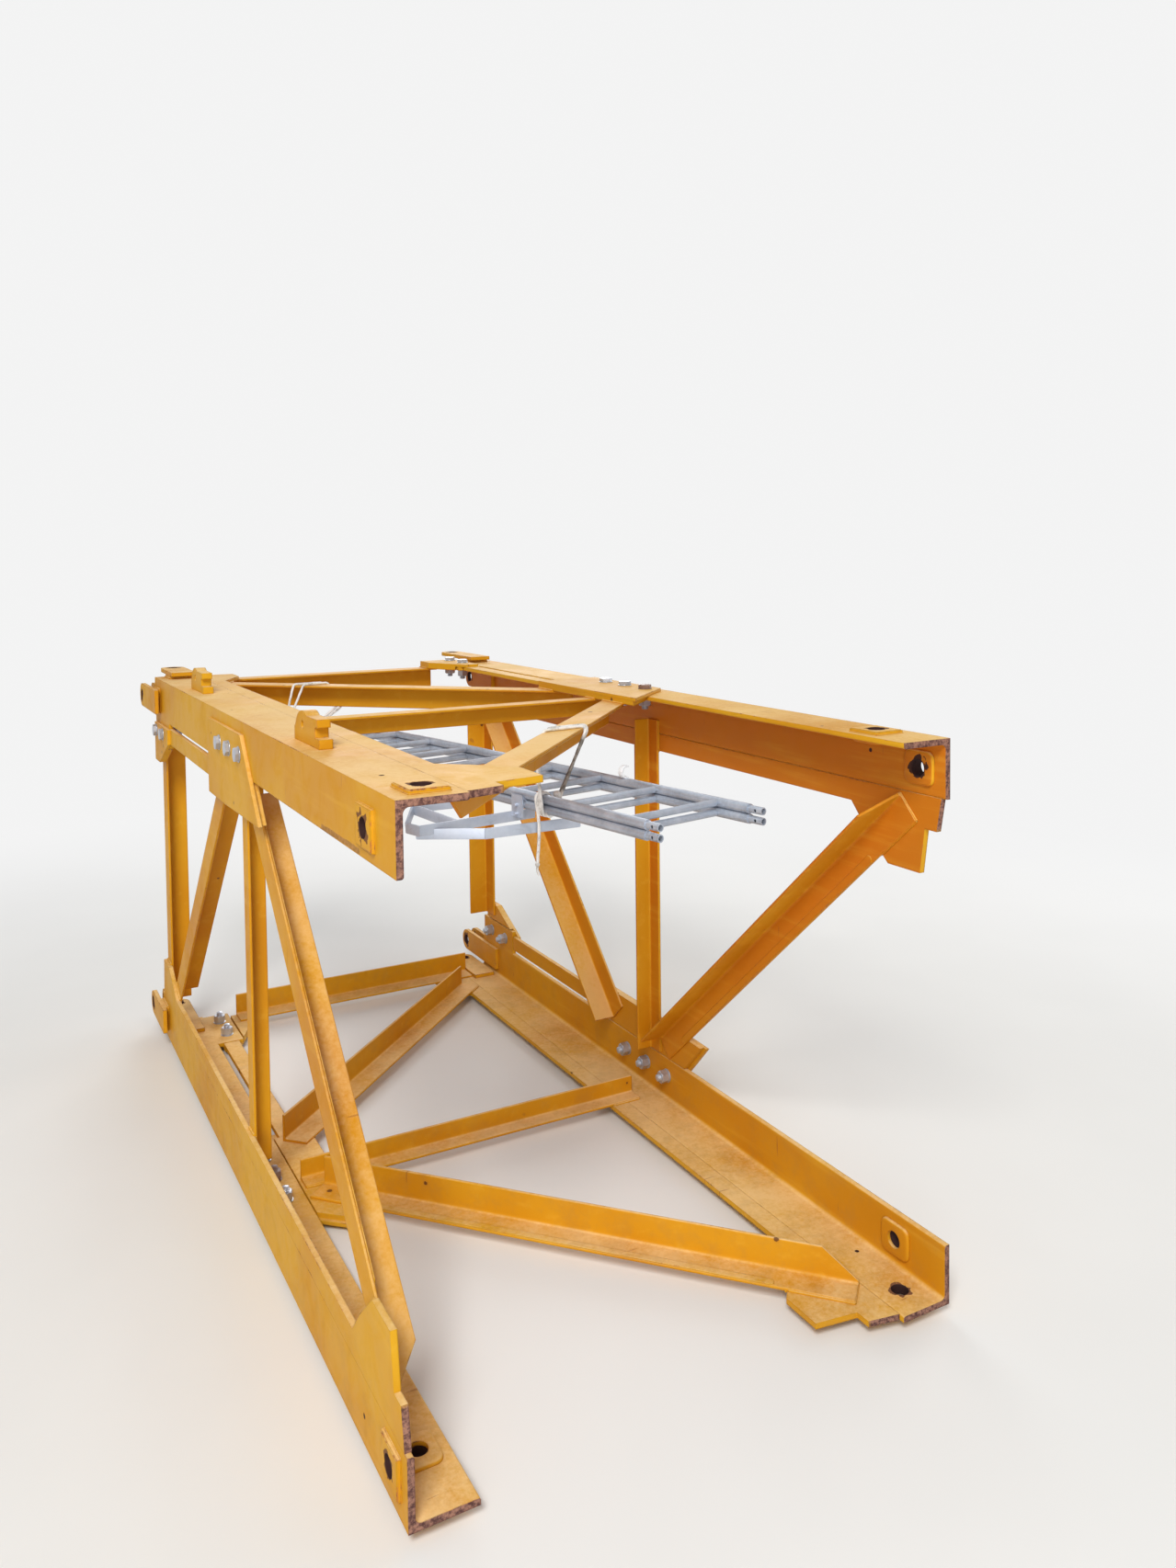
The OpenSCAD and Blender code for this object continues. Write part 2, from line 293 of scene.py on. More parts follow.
    def surface(self, shader: dict[str, object], bump: dict[str, object]) -> None:
        """Ends a material with its shader and a bump.

        Args:
            shader: A value for each input of the Principled shader.
            bump: A value for each input of the bump.
        """
        relief = self.add("ShaderNodeBump", bump).outputs[0]
        skin = self.add("ShaderNodeBsdfPrincipled", {**shader, "Normal": relief})
        self.add("ShaderNodeOutputMaterial", {"Surface": skin.outputs[0]})


class EffectSheet(ShaderSheet):
    """The tree of one shared effect, a node group."""

    def __init__(self, name: str, **takes: float | None) -> None:
        """Makes the group with its inputs.

        Args:
            name: The group's name.
            **takes: Each input's default, or None for a vector. Coords comes first.
        """
        super().__init__(bpy.data.node_groups.new(name, "ShaderNodeTree"))
        for label, default in {"Coords": None, **takes}.items():
            kind = "NodeSocketVector" if default is None else "NodeSocketFloat"
            socket = self.tree.interface.new_socket(label, in_out="INPUT", socket_type=kind)
            if default is not None:
                socket.default_value = default
        self.given = self.add("NodeGroupInput").outputs

    def give(self, **values: NodeSocket) -> NodeTree:
        """Gives the group its outputs.

        Args:
            **values: What each output carries, a vector or a number.

        Returns:
            The finished group.
        """
        for label, value in values.items():
            kind = "NodeSocketVector" if value.type == "VECTOR" else "NodeSocketFloat"
            self.tree.interface.new_socket(label, in_out="OUTPUT", socket_type=kind)
        self.add("NodeGroupOutput", values)
        return self.tree


class Effects:
    """The effects that several materials share, each built once."""

    @staticmethod
    @cache
    def edge_wear() -> NodeTree:
        """Finds worn edges and rounds them a little.

        Returns:
            A group from Coords, Reach and Amount to Bare, Primer and Normal.
        """
        sheet = EffectSheet("edge_wear", Reach=0.006, Amount=0.5)
        coords = sheet.given["Coords"]
        rounded = sheet.add("ShaderNodeBevel", {"Radius": sheet.given["Reach"]}, samples=4).outputs[0]
        bend = sheet.ramp(sheet.vector("DOT_PRODUCT", rounded, sheet.normal()), 0.998, 0.86)
        chips = sheet.times(sheet.noise(coords, 46.0, 5.0, 0.65), 0.55)
        patches = sheet.times(sheet.noise(coords, 5.0, 3.0, 0.5), 0.6)
        worn = sheet.math("ADD", sheet.math("ADD", chips, patches), sheet.times(sheet.given["Amount"], 0.22))
        worn = sheet.times(worn, sheet.math("POWER", bend, 0.35))
        return sheet.give(Bare=sheet.ramp(worn, 0.735, 0.775), Primer=sheet.ramp(worn, 0.685, 0.725), Normal=rounded)

    @staticmethod
    @cache
    def rust_specks() -> NodeTree:
        """Scatters small rust specks, each with a soft halo.

        Returns:
            A group from Coords, Scale and Density to Speck and Halo.
        """
        sheet = EffectSheet("rust_specks", Scale=26.0, Density=0.3)
        coords = sheet.given["Coords"]
        distance, draw, size = sheet.cells(coords, sheet.given["Scale"])
        chosen = sheet.math("LESS_THAN", draw, sheet.given["Density"])
        rough = sheet.times(sheet.noise(coords, 160.0, 3.0, 0.6), 0.10)
        edge = sheet.math("SUBTRACT", sheet.math("SUBTRACT", distance, rough), sheet.times(size, 0.13))
        return sheet.give(Speck=sheet.times(sheet.ramp(edge, 0.02, -0.02), chosen, clamp=True),
                          Halo=sheet.times(sheet.ramp(edge, 0.16, 0.0), chosen, clamp=True))

    @staticmethod
    @cache
    def dust_highlight_and_mud() -> NodeTree:
        """Lays a dusting with a painted top highlight on upward faces, and mud low down.

        Returns:
            A group from Coords to Dust and Mud.
        """
        sheet = EffectSheet("dust_highlight_and_mud")
        coords = sheet.given["Coords"]
        cloud = sheet.times(sheet.noise(coords, 2.6, 5.0, 0.6, 0.4), 0.75)
        grit = sheet.times(sheet.noise(coords, 70.0, 4.0, 0.7), 0.35)
        cover = sheet.ramp(sheet.math("ADD", cloud, grit), 0.34, 0.70)
        # Upward faces get a pale dusting that also serves as a painted top highlight.
        facing = sheet.ramp(sheet.axis(sheet.normal(), "Z"), 0.35, 0.95)
        low = sheet.ramp(sheet.axis(coords, "Z"), 0.42, 0.02)
        splash = sheet.ramp(sheet.noise(coords, 14.0, 6.0, 0.7), 0.44, 0.66)
        return sheet.give(Dust=sheet.times(facing, cover, clamp=True), Mud=sheet.times(low, splash, clamp=True))

    @staticmethod
    @cache
    def painted_inner_shade() -> NodeTree:
        """Gives the mask of painted shade: inner faces that the light doesn't reach, strongest high up.

        Returns:
            A group from Coords to Sheltered.
        """
        sheet = EffectSheet("painted_inner_shade")
        coords, normal = sheet.given["Coords"], sheet.normal()
        offset = sheet.vector("SUBTRACT", coords, (0.0, 0.0, SIZE.pack_out + SIZE.width / 2))
        way = sheet.vector("NORMALIZE", sheet.vector("MULTIPLY", offset, (1.0, 0.0, 1.0)))
        # Faces turned up, outward, endwise or on the outer shell count as lit; the rest get painted shade, more of it
        # high up.
        outward = sheet.ramp(sheet.vector("DOT_PRODUCT", normal, way), -0.10, 0.40)
        sun = sheet.math("MAXIMUM", sheet.ramp(sheet.axis(normal, "Z"), 0.15, 0.70), outward)
        endwise = sheet.math("ABSOLUTE", sheet.axis(normal, "Y"))
        sun = sheet.math("MAXIMUM", sun, sheet.ramp(endwise, 0.35, 0.80))
        shell = sheet.math("MAXIMUM", *(sheet.math("ABSOLUTE", sheet.axis(offset, name)) for name in "XZ"))
        inner_face = SIZE.width / 2 - SIZE.leg_wall
        sun = sheet.math("MAXIMUM", sun, sheet.ramp(shell, inner_face + 0.0005, inner_face + 0.004))
        depth = sheet.ramp(sheet.axis(coords, "Z"), 0.10, 0.95, 0.30, 1.0)
        return sheet.give(Sheltered=sheet.times(sheet.math("SUBTRACT", 1.0, sun, clamp=True), depth))

    @staticmethod
    @cache
    def bore_ring() -> NodeTree:
        """Marks a greasy bore and the chipped ring round it.

        Returns:
            A group from Coords, Centre, Axis, Radius and Ring to Grease and Chip.
        """
        sheet = EffectSheet("bore_ring", Centre=None, Axis=None, Radius=0.023, Ring=0.03)
        coords = sheet.given["Coords"]
        offset = sheet.vector("SUBTRACT", coords, sheet.given["Centre"])
        along = sheet.vector("DOT_PRODUCT", offset, sheet.given["Axis"])
        length = sheet.vector("LENGTH", offset)
        square = sheet.math("SUBTRACT", sheet.times(length, length), sheet.times(along, along))
        radius = sheet.math("SQRT", sheet.math("MAXIMUM", square, 0.0))
        near = sheet.ramp(sheet.math("ABSOLUTE", along), 0.045, 0.035)
        edge = sheet.math("SUBTRACT", radius, sheet.math("ADD", sheet.given["Radius"], 0.0006))
        reach = sheet.times(sheet.ramp(sheet.noise(coords, 42.0, 3.0, 0.5), 0.36, 0.68), sheet.given["Ring"])
        frayed = sheet.ramp(sheet.math("SUBTRACT", edge, reach), 0.0012, -0.0012)
        return sheet.give(Grease=sheet.times(sheet.ramp(edge, 0.0006, -0.0004), near),
                          Chip=sheet.times(frayed, near, clamp=True))


@dataclass(frozen=True)
class Bore:
    """A pin bore that has rubbed its paint away.

    Attributes:
        centre: A point on its axis.
        axis: Its direction.
        ring: How far the paint is chipped round it.
        radius: Its radius.
        rim: Colour of the chipped ring.
    """

    centre: Point
    axis: Point
    ring: float = 0.03
    radius: float = 0.023
    rim: Colour = srgb(104, 66, 52)

    @classmethod
    def on(cls, seat: Matrix, place: Point, *look: float | Colour) -> "Bore":
        """Makes a bore through a side at a place on it, with its ring, radius and rim."""
        return cls(tuple(seat @ Vector(place)), tuple(seat.to_3x3() @ Vector((0, 0, 1))), *look)


@dataclass(frozen=True)
class Scrape:
    """A strip where the paint has been scraped through.

    Attributes:
        start: One end.
        end: The other end.
        half: Half its width.
    """

    start: Point
    end: Point
    half: float


@dataclass(frozen=True)
class WornPaint:
    """Yellow machine paint with painted shade on the inner faces, dusty with a painted highlight on top, and chipped to
    primer and rust.

    Attributes:
        name: The material's name.
        paint: Paint colour.
        shade: Deeper tone that clouds the paint.
        deep: Painted shade tone of the inner faces that the light doesn't reach.
        wear: How far edges are chipped, 0 to 1.
        specks: Share of cells with a rust speck.
        dust: Strength of the dusting and painted top highlight on upward faces.
        bores: Pin bores in the piece.
        cut_end: Whether the near cut end is bare and rusty.
        scrapes: Strips scraped through the paint.
    """

    name: str
    paint: Colour = srgb(214, 160, 32)
    shade: Colour = srgb(202, 140, 22)
    deep: Colour = srgb(190, 102, 17)
    wear: float = 0.5
    specks: float = 0.05
    dust: float = 0.72
    bores: tuple[Bore, ...] = ()
    cut_end: bool = False
    scrapes: tuple[Scrape, ...] = ()

    def bare_places(self, sheet: ShaderSheet, coords: NodeSocket) -> list[NodeSocket]:
        """Finds the cut end's face and the scrapes.

        Args:
            sheet: The material's sheet.
            coords: The object coordinates.

        Returns:
            One mask for each place.
        """
        masks = []
        if self.cut_end:
            spot = sheet.ramp(sheet.axis(coords, "Y"), SIZE.near_y + 0.034, SIZE.near_y + 0.030)
            spot = sheet.times(spot, sheet.ramp(sheet.axis(sheet.normal(), "Y"), -0.6, -0.9))
            left = sheet.ramp(sheet.noise(coords, 28.0, 5.0, 0.7), 0.70, 0.66)
            masks.append(sheet.times(spot, left, clamp=True))
        for scrape in self.scrapes:
            way = Vector(scrape.end) - Vector(scrape.start)
            offset = sheet.vector("SUBTRACT", coords, scrape.start)
            along = sheet.vector("DOT_PRODUCT", offset, tuple(way / way.length_squared))
            foot = sheet.vector("SCALE", tuple(way), sheet.math("ADD", along, 0.0, clamp=True))
            frayed = sheet.times(sheet.streaks(coords, (40.0, 9.0, 60.0), 5.0, 0.65), scrape.half * 1.8)
            edge = sheet.math("ADD", sheet.vector("DISTANCE", offset, foot), frayed)
            masks.append(sheet.times(sheet.ramp(edge, scrape.half * 2.0, scrape.half * 1.7), 0.55))
        return masks

    def make(self) -> Material:
        """Builds the material.

        Returns:
            The finished material.
        """
        material, sheet, coords = ShaderSheet.blank(self.name)
        painted_shade = sheet.effect(Effects.painted_inner_shade(), coords)
        dust_mud_and_highlight = sheet.effect(Effects.dust_highlight_and_mud(), coords)
        specks = sheet.effect(Effects.rust_specks(), coords, Scale=21.0, Density=self.specks)
        edge = sheet.effect(Effects.edge_wear(), coords, Reach=0.006, Amount=self.wear)
        cloud = sheet.noise(coords, 1.7, 3.0, 0.5, 0.3)
        runs = sheet.streaks(coords, (26.0, 1.6, 26.0), 4.0, 0.6)
        stain = sheet.noise(coords, 11.0, 6.0, 0.65, 0.8)
        scratch = sheet.ramp(sheet.streaks(coords, (8.0, 90.0, 9.0), 2.0, 0.5), 0.70, 0.73)
        nicks = sheet.ramp(sheet.noise(coords, 7.0, 2.0, 0.5), 0.56, 0.64)
        # The inner faces get painted shade in the deep tone.
        tone = sheet.coats(sheet.blend(sheet.ramp(cloud, 0.35, 0.68), self.paint, self.shade),
                           (painted_shade["Sheltered"], 0.85, self.deep),
                           (sheet.ramp(runs, 0.52, 0.74), 0.24, srgb(228, 178, 62)),
                           (sheet.ramp(stain, 0.60, 0.78), 0.22, srgb(186, 116, 26)),
                           # Pale dusting with a painted top highlight on upward faces.
                           (dust_mud_and_highlight["Dust"], self.dust, srgb(244, 212, 156)),
                           (dust_mud_and_highlight["Mud"], 0.18, srgb(156, 120, 72)),
                           (specks["Halo"], 0.22, srgb(176, 100, 34)),
                           (specks["Speck"], 0.85, srgb(84, 48, 30)),
                           (sheet.times(scratch, nicks, clamp=True), 0.5, srgb(150, 84, 44)),
                           (edge["Primer"], 0.8, srgb(184, 104, 66)))
        rust = sheet.ramp(sheet.noise(coords, 60.0, 5.0, 0.7), 0.35, 0.65)
        tone = sheet.blend(edge["Bare"], tone, sheet.blend(rust, srgb(92, 58, 52), srgb(142, 92, 78)))
        bare = edge["Bare"]
        scab = sheet.ramp(sheet.noise(coords, 95.0, 6.0, 0.75), 0.38, 0.62)
        scab = sheet.blend(scab, srgb(84, 56, 54), srgb(158, 116, 98))
        for place in self.bare_places(sheet, coords):
            tone = sheet.blend(place, tone, scab)
            bare = sheet.math("MAXIMUM", bare, place)
        for bore in self.bores:
            ring = sheet.effect(Effects.bore_ring(), coords, Centre=bore.centre, Axis=bore.axis,
                                Radius=bore.radius, Ring=bore.ring)
            tone = sheet.coats(tone, (ring["Chip"], 0.9, bore.rim))
            tone = sheet.blend(ring["Grease"], tone, srgb(56, 36, 34))
            bare = sheet.math("MAXIMUM", bare, ring["Chip"])
        dull = sheet.math("ADD", 0.46, sheet.times(dust_mud_and_highlight["Dust"], 0.30))
        dull = sheet.math("ADD", dull, sheet.times(sheet.ramp(stain, 0.4, 0.7), 0.12))
        dull = sheet.math("ADD", dull, sheet.times(bare, 0.34), clamp=True)
        peel = sheet.times(sheet.noise(coords, 210.0, 3.0, 0.5), 0.25)
        pits = sheet.times(sheet.times(sheet.noise(coords, 420.0, 2.0, 0.6), bare), 0.8)
        relief = sheet.math("ADD", sheet.math("SUBTRACT", peel, bare), pits)
        relief = sheet.math("SUBTRACT", relief, sheet.times(specks["Speck"], 0.8))
        sheet.surface({"Base Color": tone, "Roughness": dull, "Specular IOR Level": 0.15},
                      {"Strength": 0.55, "Distance": 0.0007, "Height": relief, "Normal": edge["Normal"]})
        return material


@dataclass(frozen=True)
class HotDipZinc:
    """Galvanised steel: grey, cloudy, with small crystals and white bloom.

    Attributes:
        name: The material's name.
        tint: Main grey.
        rust: Share of rusty stain.
        polish: How much smoother than dull zinc it is.
    """

    name: str
    tint: Colour = srgb(166, 174, 187)
    rust: float = 0.0
    polish: float = 0.0

    def make(self) -> Material:
        """Builds the material.

        Returns:
            The finished material.
        """
        material, sheet, coords = ShaderSheet.blank(self.name)
        cloud = sheet.noise(coords, 13.0, 5.0, 0.6, 0.5)
        spread = self.rust * 0.2
        stain = sheet.ramp(sheet.noise(coords, 34.0, 6.0, 0.7, 0.6), 0.66 - spread, 0.76 - spread)
        tone = sheet.coats(self.tint, (sheet.cells(coords, 150.0)[1], 0.22, srgb(204, 210, 220)),
                           (sheet.ramp(cloud, 0.48, 0.72), 0.40, srgb(212, 217, 226)),
                           (sheet.ramp(cloud, 0.46, 0.30), 0.30, srgb(120, 127, 140)),
                           (stain, 0.6, srgb(124, 88, 62)))
        metal = sheet.math("SUBTRACT", 0.60, sheet.times(stain, 0.6), clamp=True)
        dull = sheet.math("ADD", 0.34 - self.polish, sheet.times(cloud, 0.26), clamp=True)
        sheet.surface({"Base Color": tone, "Metallic": metal, "Roughness": dull},
                      {"Strength": 0.4, "Distance": 0.0005, "Height": sheet.noise(coords, 240.0, 4.0, 0.6)})
        return material


@dataclass(frozen=True)
class LaidRope:
    """Pale laid rope, grubby, with a fibre grain along each strand.

    Attributes:
        name: The material's name.
        soiled: Middle of the part that hands have soiled.
        clean: Colour of a clean strand.
        dirt: How much dirt it holds.
    """

    name: str
    soiled: Point = (0.040, -0.840, 1.415)
    clean: Colour = srgb(236, 234, 230)
    dirt: float = 0.7

    def make(self) -> Material:
        """Builds the material.

        Returns:
            The finished material.
        """
        material, sheet, coords = ShaderSheet.blank(self.name)
        worn = sheet.ramp(sheet.vector("DISTANCE", coords, self.soiled), 0.105, 0.075)
        dirt = sheet.math("MAXIMUM", sheet.ramp(sheet.noise(coords, 24.0, 5.0, 0.65), 0.46, 0.72), worn)
        fibre = sheet.noise(coords, 900.0, 3.0, 0.6)
        tone = sheet.coats(self.clean, (dirt, self.dirt, srgb(128, 118, 104)),
                           (sheet.ramp(fibre, 0.5, 0.7), 0.35, srgb(120, 112, 104)))
        greasy = sheet.times(worn, sheet.ramp(sheet.noise(coords, 60.0, 3.0, 0.6), 0.40, 0.56, 0.25, 0.75))
        tone = sheet.blend(greasy, tone, srgb(92, 86, 78))
        sheet.surface({"Base Color": tone, "Roughness": sheet.ramp(fibre, 0.3, 0.7, 0.78, 0.95)},
                      {"Strength": 0.7, "Distance": 0.0006, "Height": fibre})
        return material


class Bench:
    """Modelling by hand with Blender's own operators."""

    @staticmethod
    def done() -> None:
        """Goes back to object mode."""
        bpy.ops.object.mode_set(mode="OBJECT")

    @staticmethod
    def clear() -> None:
        """Leaves edit mode and selects nothing."""
        if bpy.context.object is not None and bpy.context.object.mode != "OBJECT":
            Bench.done()
        bpy.ops.object.select_all(action="DESELECT")

    @staticmethod
    def hold(piece: Object) -> None:
        """Makes one piece the only selected one.

        Args:
            piece: The piece.
        """
        Bench.clear()
        piece.select_set(True)
        bpy.context.view_layer.objects.active = piece

    @staticmethod
    def drop(piece: Object) -> None:
        """Deletes a piece."""
        Bench.hold(piece)
        bpy.ops.object.delete()

    @staticmethod
    def duplicate(piece: Object) -> Object:
        """Copies a piece with its mesh.

        Args:
            piece: The piece.

        Returns:
            The copy.
        """
        Bench.hold(piece)
        bpy.ops.object.duplicate(linked=False)
        return bpy.context.object

    @staticmethod
    def start(kind: str, **settings: object) -> Object:
        """Adds a primitive.

        Args:
            kind: The operator's name after primitive_, such as cube.
            **settings: What the operator takes.

        Returns:
            The new object, the only selected one.
        """
        Bench.clear()
        getattr(bpy.ops.mesh, f"primitive_{kind}_add")(**settings)
        bpy.ops.object.transform_apply(location=True, rotation=True, scale=True)
        return bpy.context.object

    @staticmethod
    def block(size: Point, centre: Point) -> Object:
        """Adds a block about a centre."""
        return Bench.start("cube", size=1.0, location=centre, scale=size)

    @staticmethod
    def rod(vertices: int, radius: float, depth: float, middle: float = 0.0, **settings: object) -> Object:
        """Adds an upright cylinder whose middle is at a height."""
        settings |= {"vertices": vertices, "radius": radius, "depth": depth, "location": (0, 0, middle)}
        return Bench.start("cylinder", **settings)

    @staticmethod
    def pick(piece: Object, element: Element, test: Test) -> None:
        """Selects the edges or faces that pass a test and enters edit mode.

        Args:
            piece: The piece.
            element: What is picked.
            test: Takes an edge's middle and direction, or a face's centre and normal.
        """
        faces = element is Element.FACE
        Bench.hold(piece)
        bpy.context.tool_settings.mesh_select_mode = (False, not faces, faces)
        bpy.ops.object.mode_set(mode="EDIT")
        bpy.ops.mesh.select_all(action="DESELECT")
        Bench.done()
        if faces:
            for face in piece.data.polygons:
                face.select = bool(test(face.center, face.normal))
        else:
            for edge in piece.data.edges:
                first, second = (piece.data.vertices[i].co for i in edge.vertices)
                edge.select = bool(test((first + second) / 2, (second - first).normalized()))
        bpy.ops.object.mode_set(mode="EDIT")

    @staticmethod
    def grow(move: Point, wide: float, long: float) -> None:
        """Extrudes the selected faces by a move and resizes the new ones."""
        bpy.ops.mesh.extrude_region_move(TRANSFORM_OT_translate={"value": move})
        bpy.ops.transform.resize(value=(wide, long, 1.0))

    @staticmethod
    def bevel(piece: Object, test: Test, offset: float, segments: int) -> None:
        """Bevels the edges that pass a test.

        Args:
            piece: The piece.
            test: Takes an edge's middle and direction.
            offset: Width of the bevel.
            segments: Its steps.
        """
        Bench.pick(piece, Element.EDGE, test)
        bpy.ops.mesh.bevel(offset=offset, segments=segments)
        Bench.done()

    @staticmethod
    def mend(piece: Object, step: Callable[[], object] | None = None) -> None:
        """Runs a step on a whole mesh and turns its faces outwards.

        Args:
            piece: The piece.
            step: An operator of edit mode.
        """
        Bench.hold(piece)
        bpy.ops.object.mode_set(mode="EDIT")
        bpy.ops.mesh.select_all(action="SELECT")
        if step is not None:
            step()
        bpy.ops.mesh.normals_make_consistent(inside=False)
        Bench.done()

    @staticmethod
    def apply(piece: Object, kind: str, **settings: object) -> None:
        """Adds a modifier and applies it.

        Args:
            piece: The piece.
            kind: The modifier's type.
            **settings: Its settings.
        """
        Bench.hold(piece)
        modifier = piece.modifiers.new(kind.lower(), kind)
        for name, value in settings.items():
            setattr(modifier, name, value)
        bpy.ops.object.modifier_apply(modifier=modifier.name)

    @staticmethod
    def cut(piece: Object, tool: Object, operation: str = "DIFFERENCE") -> None:
        """Cuts a piece with a tool and deletes the tool."""
        Bench.apply(piece, "BOOLEAN", operation=operation, object=tool, solver="EXACT")
        Bench.drop(tool)

    @staticmethod
    def roughen(piece: Object, name: str, scale: float, strength: float) -> None:
        """Makes a surface uneven.

        Args:
            piece: The piece.
            name: Name of the cloud pattern.
            scale: Size of its lumps.
            strength: Their height.
        """
        clouds = bpy.data.textures.new(name, "CLOUDS")
        clouds.noise_scale = scale
        Bench.apply(piece, "DISPLACE", texture=clouds, strength=strength, mid_level=0.5)

    @staticmethod
    def place(piece: Object, matrix: Matrix) -> Object:
        """Moves a piece's mesh by a matrix, leaving the object at the origin.

        Args:
            piece: The piece.
            matrix: Where it goes.

        Returns:
            The same piece.
        """
        Bench.hold(piece)
        piece.matrix_world = matrix
        bpy.ops.object.transform_apply(location=True, rotation=True, scale=True)
        return piece

    @staticmethod
    def copies(model: Object, places: list[Matrix]) -> list[Object]:
        """Copies a piece to several places and deletes the model.

        Args:
            model: The piece modelled once, at the origin.
            places: One matrix for each copy.

        Returns:
            The copies, each with its own mesh.
        """
        made = [Bench.place(Bench.duplicate(model), matrix) for matrix in places]
        Bench.drop(model)
        return made

    @staticmethod
    def join(pieces: list[Object], name: str) -> Object:
        """Joins pieces into one.

        Args:
            pieces: The pieces.
            name: Name of the result.

        Returns:
            The joined piece.
        """
        Bench.hold(pieces[0])
        for piece in pieces:
            piece.select_set(True)
        if len(pieces) > 1:
            bpy.ops.object.join()
        pieces[0].name = pieces[0].data.name = name
        return pieces[0]

    @staticmethod
    def finish(piece: Object, material: Material, slot: str, degrees: float = 32.0) -> Object:
        """Gives a piece its shading, material and body.

        Args:
            piece: The piece.
            material: Its material.
            slot: Not used.
            degrees: Largest angle that is shaded smooth.

        Returns:
            The same piece.
        """
        Bench.hold(piece)
        bpy.ops.object.shade_smooth_by_angle(angle=math.radians(degrees))
        piece.data.materials.clear()
        piece.data.materials.append(material)
        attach(piece, "root")
        LOG.info("%s: %d faces", piece.name, len(piece.data.polygons))
        return piece


